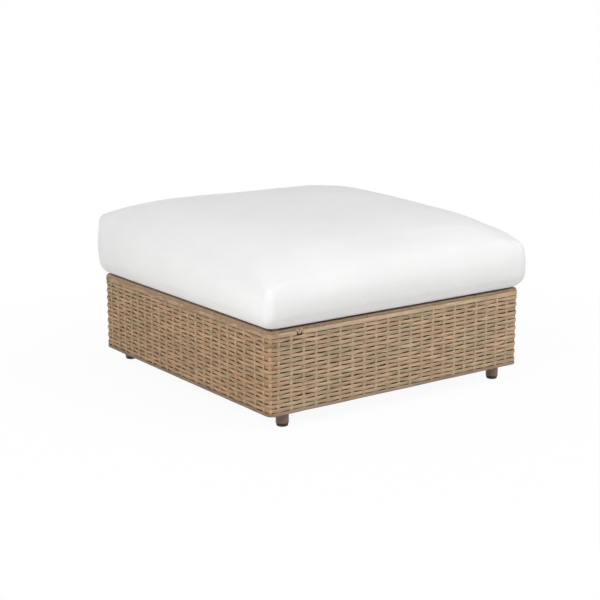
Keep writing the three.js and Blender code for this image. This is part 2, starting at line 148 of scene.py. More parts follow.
# Cushion, as in the frame's own form
CUSHION_BULGE = 6.3 * MM
CUSHION_HALF = cover_high.x - CUSHION_BULGE
CUSHION_CORNER = 24 * MM
LOWER_INSET = 35 * MM
LOWER_HEIGHT = 43 * MM
UNDERSIDE_LIFT = 1.5 * MM
LIFT_END_SHARE = 0.45
UPPER_RADIUS = 19 * MM
SOFT_RADIUS = 58 * MM
SOFT_REACH = 150 * MM
HEIGHT_FRONT_LEFT = 104 * MM
HEIGHT_FRONT_RIGHT = 131 * MM
HEIGHT_BACK_LEFT = 186 * MM
HEIGHT_BACK_RIGHT = 164 * MM
RISE_FRONT = 35 * MM
RISE_BACK = 30 * MM
RISE_LEFT = 48.5 * MM
RISE_RIGHT = 54.8 * MM
RISE_CENTRE = 6.8 * MM
CROWN_POWER = 4.17
UNDERSIDE_SCALES = (0.02, 0.15, 0.35, 0.55, 0.72, 0.85, 0.94)

# Sewing, and the cloth run that presses the cover
LOWER_SEAM_SHARE = 0.1
UPPER_SEAM_SHARE = 0.5
SEAM_SPREAD = np.array([-1, -0.55, -0.3, -0.16, -0.07, 0, 0.07, 0.16, 0.3, 0.55, 1])
SEAM_DEPTH = 0.55 * MM
PUCKER = 0.12 * MM
FOLD = 0.5 * MM
DRIFT = 0.9 * MM
COVER_SLACK = 1 * MM
CORE_INSET = 6.5 * MM
CLOTH_VOXEL = 12 * MM
CLOTH_INSET = 2.5 * MM
CLOTH_CAP = 3 * MM
CLOTH_HOLD = 10 * MM
CLOTH_FRAMES = 20

# Zip in the cover's back, low down where its side curves in
zip_low, zip_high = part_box("zip_tape")
slider_low, slider_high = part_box("zip_slider")
pull_low, pull_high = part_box("zip_pull")
ZIP_REACH = 30 * MM
ZIP_ANGLE = math.radians(62)
ZIP_LEAN = math.atan2(LOWER_INSET * math.cos(ZIP_ANGLE), LOWER_HEIGHT * math.sin(ZIP_ANGLE))
ZIP_PLACE = np.array([
    0.0,
    CUSHION_HALF - LOWER_INSET * (1 - math.sin(ZIP_ANGLE)),
    CUSHION_BASE + LOWER_HEIGHT * (1 - math.cos(ZIP_ANGLE)),
])
ZIP_ALONG = np.array([1.0, 0.0, 0.0])
ZIP_OUT = np.array([0.0, math.cos(ZIP_LEAN), -math.sin(ZIP_LEAN)])
ZIP_UP = np.array([0.0, math.sin(ZIP_LEAN), math.cos(ZIP_LEAN)])
ZIP_HALF = (zip_high.x - zip_low.x) / 2
TAPE_FACE = -0.5 * MM
TAPE_HALF = 10 * MM
TAPE_THICKNESS = 1.1 * MM
COIL_PITCH = 1.3 * MM
COIL_WIRE = 0.34 * MM
STITCH_PITCH = 3.4 * MM
STITCH_LENGTH = 2.4 * MM
STITCH_THREAD = 0.3 * MM

# Studio
LAMP_DISTANCE = 4.6
LAMP_SIZE = 2.4
LAMP_AIM = 0.35
FLOOR_HALF = 30.0
CAMERA_PLACE = (-2.57727, -3.52673, 1.25634)
CAMERA_AZIMUTH = -35.8656
CAMERA_ELEVATION = 13.2928
CAMERA_LENS = 84.42


# Meshes from grids of points


def smooth_step(t):
    t = np.clip(t, 0, 1)
    return t * t * (3 - 2 * t)


def unit(vectors):
    return vectors / np.linalg.norm(vectors, axis=-1, keepdims=True)


def stacked(x, y, z):
    """A grid of points from its coordinates, which may be constant along rows or columns."""
    return np.stack(np.broadcast_arrays(x, y, z), -1).astype(float)


def section_angles(count):
    return (np.arange(count) + 0.5) * TAU / count


def running_length(points):
    steps = np.linalg.norm(np.diff(points, axis=0), axis=1)
    return np.concatenate([[0], np.cumsum(steps)])


def signed_volume(points, faces):
    a, b, c, d = (points[faces[:, k]] for k in range(4))
    return float((a * (np.cross(b, c) + np.cross(c, d))).sum())


def grid_faces(rows, columns, wrap_rows, wrap_columns, start=0):
    """Quads over a grid of points, row by row, as an array of vertex numbers."""
    down = np.arange(rows if wrap_rows else rows - 1)
    across = np.arange(columns if wrap_columns else columns - 1)
    r, c = (numbers.ravel() for numbers in np.meshgrid(down, across, indexing="ij"))
    r2, c2 = (r + 1) % rows, (c + 1) % columns
    return start + np.stack([r * columns + c, r * columns + c2, r2 * columns + c2, r2 * columns + c], 1)


def cap_faces(columns, start, flip):
    """Quads straight across an even loop of points, which closes a tube's end."""
    k = np.arange(columns // 2 - 1)
    quads = np.stack([k, k + 1, columns - 2 - k, columns - 1 - k], 1) + start
    return quads[:, ::-1] if flip else quads


class Skin:
    """Collects grids of points for one mesh, with a UV map in metres along and across each strand."""

    def __init__(self):
        self.points, self.faces, self.maps = [], [], []
        self.count = 0

    def add(self, grid, wrap_rows=False, wrap_columns=True, along=None, across=None, caps=False):
        """grid is rows x columns x 3. along and across are its rows' and columns' places on the UV map."""
        rows, columns = grid.shape[:2]
        along = running_length(grid[:, 0]) if along is None else along
        across = running_length(grid[0]) if across is None else across
        faces = grid_faces(rows, columns, wrap_rows, wrap_columns, self.count)
        r, c = np.divmod(faces[:, 0] - self.count, columns)
        next_along = np.append(along[1:], 2 * along[-1] - along[-2])
        next_across = np.append(across[1:], 2 * across[-1] - across[-2])
        u = np.stack([along[r], along[r], next_along[r], next_along[r]], 1)
        v = np.stack([across[c], next_across[c], next_across[c], across[c]], 1)
        maps = np.stack([u, v], 2)
        for row, flip in ((0, True), (rows - 1, False)) if caps else ():
            quads = cap_faces(columns, self.count + row * columns, flip)
            at = (quads - self.count) % columns
            faces = np.concatenate([faces, quads])
            maps = np.concatenate([maps, np.stack([np.full(at.shape, along[row]), across[at]], 2)])
        closed = (wrap_rows or caps) and wrap_columns
        if closed and signed_volume(grid.reshape(-1, 3), faces - self.count) < 0:
            faces, maps = faces[:, ::-1], maps[:, ::-1]
        self.points.append(grid.reshape(-1, 3))
        self.faces.append(faces)
        self.maps.append(maps)
        self.count += rows * columns

    def close(self, quads):
        """Adds faces between points that are there already."""
        self.faces.append(quads)
        self.maps.append(np.zeros((len(quads), 4, 2)))

    def place(self, name, look, body, slot, replaced=(), sharp=0):
        """Makes the piece, keeps edges sharper than sharp degrees crisp, and puts it on its body."""
        faces = np.concatenate(self.faces)
        piece = mesh_object(name, np.concatenate(self.points), faces)
        mesh = piece.data
        layer = mesh.uv_layers.new(name="strand")
        layer.uv.foreach_set("vector", np.concatenate(self.maps).reshape(-1).astype(np.float32))
        mesh.polygons.foreach_set("use_smooth", np.full(len(faces), True))
        mesh.materials.append(looks[look])
        mesh.update()
        if sharp:
            sharpen(mesh, math.radians(sharp))
        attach(piece, body)
        if replaced:
            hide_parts(*replaced)
        return piece


def link(name, data):
    thing = bpy.data.objects.new(name, data)
    bpy.context.scene.collection.objects.link(thing)
    return thing


def mesh_object(name, vertices, faces):
    mesh = bpy.data.meshes.new(name)
    mesh.from_pydata(vertices, [], faces)
    mesh.update()
    return link(name, mesh)


def sharpen(mesh, limit):
    edge_faces = {}
    normals = [face.normal.copy() for face in mesh.polygons]
    for face in mesh.polygons:
        for key in face.edge_keys:
            edge_faces.setdefault(key, []).append(face.index)
    for edge in mesh.edges:
        around = edge_faces.get(edge.key, [])
        if len(around) == 2 and normals[around[0]].angle(normals[around[1]], 0) > limit:
            edge.use_edge_sharp = True


def oval(width, thickness, count, squareness=0.6):
    """A flat oval section: (offset along the width, offset along the thickness) of each point."""
    cos, sin = np.cos(section_angles(count)), np.sin(section_angles(count))
    across = np.sign(cos) * np.abs(cos) ** squareness * width / 2
    out = np.sign(sin) * np.abs(sin) ** squareness * thickness / 2
    return across, out


def round_tube(line, helper, sizes, count):
    """Rings of points round a line. helper is a direction that the line never takes."""
    tangents = unit(np.gradient(line, axis=0))
    side = unit(np.cross(tangents, helper))
    up = np.cross(side, tangents)
    angles = section_angles(count)[None, :, None]
    return line[:, None] + (side[:, None] * np.cos(angles) + up[:, None] * np.sin(angles)) * sizes


def lathe_grid(centre, radii, heights, angles):
    return stacked(centre[0] + radii * np.cos(angles), centre[1] + radii * np.sin(angles), heights)


def ripple(along, length, size, longest, shortest, random, count=7):
    """Smooth seeded unevenness along a closed path, made of a few waves."""
    total = np.zeros_like(along)
    for _ in range(count):
        waves = round(length / random.uniform(shortest, longest))
        total += np.sin(TAU * waves * along / length + random.uniform(0, TAU))
    return total * size / math.sqrt(count)


# Materials


def add_node(tree, kind, settings=None, **values):
    node = tree.nodes.new(kind)
    for key, value in (settings or {}).items():
        setattr(node, key, value)
    for key, value in values.items():
        socket = node.inputs[int(key[1:])] if key[0] == "_" else node.inputs[key.replace("_", " ")]
        if isinstance(value, bpy.types.NodeSocket):
            tree.links.new(value, socket)
        else:
            socket.default_value = value
    return node


def maths(tree, operation, *values):
    numbered = {f"_{k}": value for k, value in enumerate(values)}
    return add_node(tree, "ShaderNodeMath", {"operation": operation}, **numbered).outputs[0]


def map_range(tree, value, start, end, low, high):
    """Carries value from start..end to low..high, and no further."""
    ends = {"From_Min": start, "From_Max": end, "To_Min": low, "To_Max": high}
    return add_node(tree, "ShaderNodeMapRange", Value=value, **ends).outputs["Result"]


class Surface:
    """A material with one Principled shader, whose even values are set directly."""

    def __init__(self, name, **values):
        self.material = bpy.data.materials.new(name)
        self.material.use_nodes = True
        self.tree = self.material.node_tree
        self.shader = self.tree.nodes["Principled BSDF"]
        for key, value in values.items():
            self.shader.inputs[key.replace("_", " ")].default_value = value

    def place(self, source="object", scale=(1, 1, 1)):
        """The strand's UV map in metres, or the piece's own place, stretched by scale."""
        if source == "strand":
            place = add_node(self.tree, "ShaderNodeUVMap", {"uv_map": "strand"}).outputs["UV"]
        else:
            place = add_node(self.tree, "ShaderNodeTexCoord").outputs["Object"]
        return add_node(self.tree, "ShaderNodeMapping", Vector=place, Scale=scale).outputs["Vector"]

    def noise(self, source, scale, detail, roughness=0.55):
        values = {"Vector": self.place(source, scale), "Scale": 1.0, "Detail": detail, "Roughness": roughness}
        return add_node(self.tree, "ShaderNodeTexNoise", **values).outputs["Fac"]

    def even_noise(self, frequency, detail):
        return self.noise("object", (frequency, frequency, frequency), detail)

    def waves(self, place, direction, **values):
        settings = {"wave_type": "BANDS", "bands_direction": direction, "wave_profile": "SIN"}
        return add_node(self.tree, "ShaderNodeTexWave", settings, Vector=place, **values).outputs["Fac"]

    def ramp(self, factor, first, second):
        """A colour between two stops, each a place and a colour."""
        node = add_node(self.tree, "ShaderNodeValToRGB", Fac=factor)
        for element, (place, colour) in zip(node.color_ramp.elements, (first, second)):
            element.position = place
            element.color = (*colour, 1)
        return node.outputs["Color"]

    def mix(self, factor, first, second, blend="MIX"):
        settings = {"data_type": "RGBA", "blend_type": blend}
        return add_node(self.tree, "ShaderNodeMix", settings, _0=factor, _6=first, _7=second).outputs[2]

    def drive(self, socket, value):
        self.tree.links.new(value, self.shader.inputs[socket])

    def bump(self, height, distance, strength=1.0):
        values = {"Height": height, "Distance": distance, "Strength": strength}
        self.drive("Normal", add_node(self.tree, "ShaderNodeBump", **values).outputs["Normal"])


def wicker_material(name, warm, cool, dark, left_shade, spread=1.0):
    """Extruded resin strand: hue and tone drift along it, with fine streaks and ridges.

    The left side of the base is darkened by painted shade: a tint multiplied in, in noisy patches, which
    grows from nothing to full between two bounds in x near the left face.
    """
    look = Surface(name, Roughness=0.5, Specular_IOR_Level=0.35)
    base = look.ramp(look.noise("strand", (7, 45, 1), 1), (0.38, warm), (0.62, cool))
    depth = look.noise("strand", (13, 90, 1), 2)
    level = map_range(look.tree, depth, 0.3, 0.7, 1 - 0.26 * spread, 1 + 0.16 * spread)
    base = look.mix(1.0, base, level, "MULTIPLY")
    place = add_node(look.tree, "ShaderNodeTexCoord").outputs["Object"]
    across = add_node(look.tree, "ShaderNodeSeparateXYZ", Vector=place).outputs["X"]
    # Painted shade: the left side of the base darkened by a tint, in noisy patches
    side = map_range(look.tree, across, LEFT_SHADE_START, LEFT_SHADE_FULL, 0.0, 1.0)
    shade_patches = map_range(look.tree, look.noise("strand", (35, 140, 1), 2), 0.36, 0.64, 0.4, 1.0)
    base = look.mix(maths(look.tree, "MULTIPLY", side, shade_patches), base, (*left_shade, 1), "MULTIPLY")
    streaks = look.noise("strand", (18, 900, 1), 4, 0.65)
    amount = map_range(look.tree, streaks, 0.45, 0.75, 0.0, 0.6)
    look.drive("Base Color", look.mix(amount, base, (*dark, 1)))
    look.bump(streaks, 0.35 * MM)
    return look.material


def fabric_material(name, colour, shadow, thread=1.1 * MM):
    """Woven outdoor canvas: two sets of threads, slubs, and a slow drift of tone."""
    look = Surface(name, Roughness=0.88, Specular_IOR_Level=0.25, Sheen_Weight=0.15, Sheen_Roughness=0.5)
    place = add_node(look.tree, "ShaderNodeTexCoord").outputs["Object"]
    values = {"Scale": TAU / 20 / thread, "Distortion": 0.6, "Detail": 1.0, "Detail Scale": 0.4}
    x, y, z = (look.waves(place, direction, **values) for direction in "XYZ")
    threads = maths(look.tree, "ADD", maths(look.tree, "MULTIPLY", x, y), z)
    height = maths(look.tree, "MULTIPLY_ADD", look.even_noise(220, 4), 1.2, threads)
    tone = maths(look.tree, "MULTIPLY", look.even_noise(5, 3), look.even_noise(500, 2))
    look.drive("Base Color", look.ramp(tone, (0.05, shadow), (0.4, colour)))
    look.bump(height, 0.12 * MM, 0.7)
    return look.material


def coated_metal(name, colour, worn, roughness=0.42):
    """Powder-coated aluminium: fine orange peel, with faint scuffs."""
    values = {"Metallic": 0.0, "Specular_IOR_Level": 0.5, "Coat_Weight": 0.15, "Coat_Roughness": 0.3}
    look = Surface(name, Roughness=roughness, **values)
    scuffs = look.noise("object", (60, 60, 14), 6, 0.7)
    look.drive("Base Color", look.ramp(scuffs, (0.35, colour), (0.75, worn)))
    look.bump(look.even_noise(900, 1), 0.06 * MM, 0.5)
    return look.material


def bright_metal(name, colour, roughness=0.28):
    """Plated steel with fine turning marks."""
    look = Surface(name, Metallic=1.0)
    marks = look.noise("object", (80, 80, 2600), 3)
    low, high = (roughness - 0.08,) * 3, (roughness + 0.14,) * 3
    look.drive("Roughness", look.ramp(marks, (0.3, low), (0.7, high)))
    darker = tuple(0.82 * c for c in colour)
    look.drive("Base Color", look.ramp(look.even_noise(40, 4), (0.35, darker), (0.65, colour)))
    look.bump(marks, 0.02 * MM, 0.5)
    return look.material


def moulded_plastic(name, colour, paler):
    """Moulded nylon with a fine spark-eroded grain."""
    look = Surface(name, Roughness=0.6, Specular_IOR_Level=0.4)
    look.drive("Base Color", look.ramp(look.even_noise(50, 3), (0.35, colour), (0.7, paler)))
    look.bump(look.even_noise(1500, 2), 0.05 * MM, 0.6)
    return look.material


def webbing_material(name, colour, rib_highlight):
    """Woven polypropylene webbing: ribs along the strap, crossed by fine picks. The raised ribs are painted
    lighter than the grooves between them, broken up by random fuzz: painted shading of the relief.
    """
    look = Surface(name, Roughness=0.7, Specular_IOR_Level=0.3)
    values = {"Scale": TAU / 20 / (2.4 * MM), "Distortion": 0.3}
    ribs, picks = (look.waves(look.place("strand"), direction, **values) for direction in "YX")
    fuzz = look.noise("strand", (300, 900, 1), 3)
    # Painted shading of the relief: raised ribs lighter, grooves darker, varied by random fuzz
    tone = maths(look.tree, "MULTIPLY", ribs, fuzz)
    look.drive("Base Color", look.ramp(tone, (0.1, colour), (0.6, rib_highlight)))
    look.bump(maths(look.tree, "MULTIPLY_ADD", picks, 0.5, ribs), 0.3 * MM, 0.8)
    return look.material


def foam_material(name, colour, pore_shade):
    """Open-cell foam: small pores, darker in their pits, which is painted shade."""
    look = Surface(name, Roughness=0.95, Specular_IOR_Level=0.1)
    place = look.place("object", (900, 900, 900))
    cells = add_node(look.tree, "ShaderNodeTexVoronoi", Vector=place, Scale=1.0).outputs["Distance"]
    # Painted shade: the pits of the pores darker, the same distance that sinks them in the bump
    look.drive("Base Color", look.ramp(cells, (0.1, pore_shade), (0.6, colour)))
    look.bump(cells, 0.3 * MM, 0.6)
    return look.material


looks = {
    # The fifth colour of each resin look is the painted shade tint multiplied into the left side of the base
    "weave": wicker_material(
        "resin_weave", (0.53, 0.345, 0.22), (0.435, 0.341, 0.207), (0.22, 0.13, 0.07), (0.77, 0.66, 0.52), 1.3
    ),
    "stake": wicker_material(
        "resin_stake", (0.545, 0.362, 0.238), (0.48, 0.37, 0.232), (0.26, 0.17, 0.10), (0.94, 0.83, 0.70), 1.2
    ),
    "rim": wicker_material(
        "resin_rim", (0.60, 0.41, 0.27), (0.53, 0.405, 0.255), (0.26, 0.17, 0.10), (0.45, 0.38, 0.30)
    ),
    # Wraps: the rim's resin made darker, a painted shadow of the cushion's overhang falling on the top of the
    # rim
    "wrap_painted_shadow": wicker_material(
        "resin_wrap_painted_shadow", (0.38, 0.255, 0.165), (0.33, 0.25, 0.155), (0.18, 0.12, 0.07), (0.95, 0.90, 0.85)
    ),
    # Lower edge: the resin made darker and greyer, painted shade under the base's bottom edge
    "edge": wicker_material(
        "resin_edge_painted_shade", (0.33, 0.232, 0.155), (0.30, 0.228, 0.155), (0.17, 0.12, 0.08), (0.62, 0.50, 0.40)
    ),
    "cover": fabric_material("cushion_canvas", (0.83, 0.83, 0.825), (0.79, 0.79, 0.785)),
    "foam": foam_material("cushion_foam", (0.80, 0.74, 0.58), (0.62, 0.55, 0.40)),
    "tape": fabric_material("zip_tape_weave", (0.80, 0.795, 0.78), (0.70, 0.695, 0.68), thread=0.6 * MM),
    "frame": coated_metal("frame_coating", (0.16, 0.115, 0.08), (0.22, 0.165, 0.12)),
    "foot": coated_metal("foot_coating", (0.168, 0.088, 0.058), (0.21, 0.125, 0.088), roughness=0.38),
    "plastic": moulded_plastic("glide_nylon", (0.035, 0.026, 0.02), (0.06, 0.048, 0.04)),
    "zip_plastic": moulded_plastic("zip_coil_nylon", (0.72, 0.71, 0.69), (0.78, 0.775, 0.76)),
    "steel": bright_metal("plated_steel", (0.62, 0.62, 0.61)),
    "zip_metal": bright_metal("zip_nickel", (0.42, 0.41, 0.395), roughness=0.3),
    # Lining: dark brown as painted shade of the base's inside, seen through the weave's gaps
    "lining": webbing_material("wicker_lining_painted_shade", (0.10, 0.06, 0.034), (0.17, 0.105, 0.062)),
    "webbing": webbing_material("strap_webbing", (0.022, 0.02, 0.018), (0.09, 0.08, 0.07)),
}


# Wicker: rings of strand woven in and out of upright stakes, all the way round


def turned(vector, side):
    """A point or direction given for the front side, carried to another side."""
    x, y = vector
    for _ in range(side):
        x, y = -y, x
    return np.array([x, y])


def row_level(row):
    """Middle height of a row of weave, row 0 at the bottom."""
    return WICKER_TOP - BOTTOM_ROW_DROP + row * ROW_PITCH


def row_sign(row):
    return -1 if row % 2 == 0 else 1


def stake_places(side):
    """Distances along one side from its first tangent point to its stakes."""
    shares = np.arange(1, CELLS_PER_SIDE) / CELLS_PER_SIDE
    places = shares * 2 * BASE_HALF - CORNER_RADIUS
    if side == 0:
        places -= FRONT_SHIFT_LEFT * (1 - shares) + FRONT_SHIFT_RIGHT * shares
    if side == 3:
        places[-LEFT_END_STAKES:] += LEFT_END_SHIFT
    return list(places)


def ring_places():
    """Places round the outline: points on its outer face, outward directions, distance and weave phase.

    A strand passes the stake on a corner as it passes the one before it, and alternates from there on.
    """
    points, outs, along = [], [], []
    every_stake, crossings = [-ARC_LENGTH / 2], [0]
    for side in range(4):
        stakes = stake_places(side)
        every_stake += [side * SIDE_LENGTH + place for place in stakes]
        every_stake.append((side + 1) * SIDE_LENGTH - ARC_LENGTH / 2)
        crossings += [crossings[-1] + number for number in range(1, CELLS_PER_SIDE)]
        crossings.append(crossings[-1])
        knots = [-ARC_LENGTH / 2, 0] + stakes + [STRAIGHT, STRAIGHT + ARC_LENGTH / 2]
        distances = []
        for low, high in zip(knots[:-1], knots[1:]):
            steps = max(4, round(STEPS_PER_SPAN * (high - low) / STAKE_SPACING))
            distances.append(np.linspace(low, high, steps + 1)[:-1])
        for distance in np.concatenate(distances):
            angle = (max(distance - STRAIGHT, 0) + min(distance, 0)) / CORNER_RADIUS
            direction = np.array((math.sin(angle), -math.cos(angle)))
            middle = np.array((min(max(distance, 0), STRAIGHT) - STRAIGHT / 2, CORNER_RADIUS - BASE_HALF))
            points.append(turned(middle + CORNER_RADIUS * direction, side))
            outs.append(turned(direction, side))
            along.append(side * SIDE_LENGTH + distance)
    along = np.array(along)
    return np.array(points), np.array(outs), along, math.pi * np.interp(along, every_stake, crossings)


ring_points, ring_outs, ring_along, ring_phase = ring_places()


def outline_grid(depths, heights):
    """Points at depths behind the outline's outer face, one row for each place round it."""
    place = ring_points[:, None] - ring_outs[:, None] * depths[:, :, None]
    return stacked(place[:, :, 0], place[:, :, 1], heights)


def ring_ripple(size, longest, shortest, random):
    return ripple(ring_along, RING_LENGTH, size, longest, shortest, random)


def join_place(random, sign):
    """Where a closed strand's two ends meet: behind a stake of the back side."""
    stake = 2 * (CELLS_PER_SIDE - 1) + random.integers(4, CELLS_PER_SIDE - 4)
    if sign * math.cos(math.pi * stake) > 0:
        stake += 1
    return int(np.argmin(np.abs(ring_phase - math.pi * stake)))


def strand_ring(
    skin, level, depth, width, thickness, random, sway=0.0, sign=1, jitter=1.0, twist=0.1, gap=None
):
    """A strand round the base at one level: it waves in and out by sway, first out at sign 1.

    It is closed, or left open between the two distances that gap gives.
    """
    across, out = oval(width, thickness, STRAND_POINTS, 0.75)
    rise, wobble = [ring_ripple(size * jitter, 0.3, 0.05, random) for size in (0.35 * MM, 0.16 * MM)]
    lean = ring_ripple(twist, 0.25, 0.06, random)[:, None]
    wave = sign * np.cos(ring_phase)
    swell = 1 + ring_ripple(0.03 * jitter, 0.5, 0.08, random)
    if sway:
        from_corner = (ring_along + ARC_LENGTH / 2 + SIDE_LENGTH / 2) % SIDE_LENGTH - SIDE_LENGTH / 2
        swell += STAKE_SPREAD * np.maximum(wave**2, np.exp(-((from_corner / CORNER_RADIUS) ** 2)))
    middle = (depth - sway * wave + wobble)[:, None]
    across, out = across * swell[:, None], out[None]
    depths = middle - out * np.cos(lean) + across * np.sin(lean)
    grid = outline_grid(depths, level + rise[:, None] + across * np.cos(lean) + out * np.sin(lean))
    start = random.uniform(0, 40)
    join = join_place(random, sign) if gap is None else int(np.argmin(np.abs(ring_along - gap[1])))
    along = np.roll((ring_along - ring_along[join]) % RING_LENGTH, -join)
    grid = np.roll(grid, -join, axis=0)
    across = start + running_length(grid[0])
    if gap is None:
        skin.add(grid, wrap_rows=True, along=start + along, across=across)
        return
    kept = along < RING_LENGTH - (gap[1] - gap[0])
    skin.add(grid[kept], along=start + along[kept], across=across, caps=True)


def ribbon(
    skin, base, outward, sideways, path, width, thickness, random, columns=STRAND_POINTS, squareness=0.6
):
    """A strip along a path of (depth, height) points, at one place on the outline.

    width may vary along it.
    """
    path = np.asarray(path, float)
    tangents = unit(np.gradient(path, axis=0))
    across, out = oval(1.0, thickness, columns, squareness)
    depth = path[:, 0, None] - tangents[:, 1, None] * out
    height = path[:, 1, None] + tangents[:, 0, None] * out
    side = np.broadcast_to(width, len(path))[:, None] * across
    place = base - depth[:, :, None] * outward + side[:, :, None] * sideways
    grid = stacked(place[:, :, 0], place[:, :, 1], height)
    start = random.uniform(0, 40)
    along, across = start + running_length(grid[:, 0]), start + running_length(grid[0])
    skin.add(grid, along=along, across=across, caps=True)


def bend(centre, radius, first, last, steps=5):
    """Points of (depth, height) round an arc. Angles are quarter turns, 0 outwards and 1 upwards."""
    angles = np.linspace(first, last, steps) * TAU / 4
    return [(centre[0] - radius * math.cos(a), centre[1] + radius * math.sin(a)) for a in angles]


def build_rows():
    for row in range(ROW_COUNT):
        random = np.random.default_rng(100 + row)
        skin = Skin()
        weave = {"sway": STRAND_SWAY, "sign": row_sign(row)}
        strand_ring(skin, row_level(row), STAKE_DEPTH, STRAND_WIDTH, STRAND_THICKNESS, random, **weave)
        skin.place(f"wicker_row_{row + 1:02d}", "weave", "base", "wicker")


def build_stakes():
    """Upright stakes. Between the feet their lower ends fold inwards under the bottom rails."""
    plate_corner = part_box("foot_plate_front_left")[1]
    fold_level = PANEL_BOTTOM + STAKE_FOLD_RISE
    fold = bend((STAKE_DEPTH + STAKE_FOLD, fold_level + STAKE_FOLD), STAKE_FOLD, 0, -1)
    foot = [(STAKE_FOLD_REACH, fold_level)] + fold[::-1]
    low = PANEL_BOTTOM + STAKE_FOOT_RISE + STAKE_FOLD
    heights = np.arange(low, WICKER_TOP - STAKE_TOP_DROP, ROW_PITCH / 5)
    for side, name in enumerate(SIDE_NAMES):
        random = np.random.default_rng(200 + side)
        skin = Skin()
        fold_reach = -plate_corner[side % 2] - STAKE_WIDTH
        places = [distance - STRAIGHT / 2 for distance in stake_places(side)]
        for number, place in enumerate(places + [None], 1):
            on_corner = place is None
            crossing = side * (CELLS_PER_SIDE - 1) + number - on_corner
            phase = math.pi * ((heights - row_level(0)) / ROW_PITCH + crossing)
            depths = STAKE_DEPTH + row_sign(0) * STAKE_SWAY * np.cos(phase)
            path = list(zip(depths + CORNER_STAKE_DEPTH * on_corner, heights))
            if on_corner:
                outward, sideways = (unit(turned((1.0, y), side)) for y in (-1.0, 1.0))
                base = turned((STRAIGHT / 2, -STRAIGHT / 2), side) + CORNER_RADIUS * outward
            else:
                outward, sideways = turned((0, -1), side), turned((1, 0), side)
                base = turned((place, -BASE_HALF), side)
            if not on_corner and abs(place) < fold_reach:
                path = foot + path
            shift = random.normal(0, 0.3 * MM)
            width = STAKE_WIDTH * random.uniform(0.94, 1.04)
            ribbon(skin, base + shift * sideways, outward, sideways, path, width, STAKE_THICKNESS, random)
        skin.place(f"wicker_stakes_{name}", "stake", "base", "wicker", [f"wicker_panel_{name}"])


def build_lining():
    """A thin lining between the frame and the strands, turned outwards at its foot.

    It lets no daylight through the weave, and its dark brown is painted shade: it stands for the dark inside
    of the base, seen through the gaps.
    """
    bottom, top = PANEL_BOTTOM + LINING_RISE, WICKER_TOP - LINING_DROP
    inner = BASE_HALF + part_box("frame_top_rail_front")[0].y - LINING_GAP
    depth = inner - LINING_THICKNESS
    lip_top = bottom + LINING_LIP_THICKNESS
    outline = [(depth, lip_top), (depth, top), (inner, top), (inner, bottom)]
    outline = np.array(outline + [(LINING_LIP_DEPTH, bottom), (LINING_LIP_DEPTH, lip_top)])
    skin = Skin()
    grid = outline_grid(outline[None, :, 0], outline[None, :, 1])
    skin.add(grid, wrap_rows=True, along=ring_along + 1, across=running_length(outline))
    skin.place("wicker_lining_painted_shade", "lining", "base", "wicker", sharp=40)


def build_lower_edge():
    random = np.random.default_rng(300)
    skin = Skin()
    level = PANEL_BOTTOM - EDGE_DROP + EDGE_HEIGHT / 2
    strand_ring(skin, level, EDGE_DEPTH, EDGE_HEIGHT, EDGE_THICKNESS, random, jitter=0.5, twist=0.05)
    # The lower edge takes the darker look: painted shade under the base
    skin.place("wicker_lower_edge", "edge", "base", "wicker")


def wrap_path(leg_depth, leg_low):
    """Up the outer face, over the rim and inwards, then down inside to leg_low, unless that is None."""
    roof = WICKER_TOP - WRAP_THICKNESS / 2
    bottom = RIM_BOTTOM + WRAP_FOOT_RISE
    path = [(WRAP_DEPTH, z) for z in np.linspace(bottom, roof - WRAP_TURN, 4)[:-1]]
    first = WRAP_DEPTH + WRAP_TURN
    path += bend((first, roof - WRAP_TURN), WRAP_TURN, 0, 1, 6)
    inner = leg_depth - WRAP_THICKNESS / 2
    last = inner if leg_low is None else inner - WRAP_INNER_TURN
    shares = np.linspace(0, 1, 7)[1:]
    path += [(first + (last - first) * s, roof - WRAP_DIP * smooth_step(2 * s)) for s in shares]
    if leg_low is None:
        return path
    lower = roof - WRAP_DIP - WRAP_INNER_TURN
    path = path[:-1] + bend((last, lower), -WRAP_INNER_TURN, -1, 0)
    return path + [(inner, z) for z in np.linspace(lower, leg_low, 4)[1:]]


def crossing_spans(side):
    """Stretches of a side where a strap or a brace meets the rail inside, as (middle, half width)."""
    axis = side % 2
    prefixes = (("deck_strap_lengthwise_", "frame_seat_brace_"), ("deck_strap_crosswise_",))[axis]
    boxes = [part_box(node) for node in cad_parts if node.startswith(prefixes)]
    return [((low[axis] + high[axis]) / 2, (high[axis] - low[axis]) / 2) for low, high in boxes]


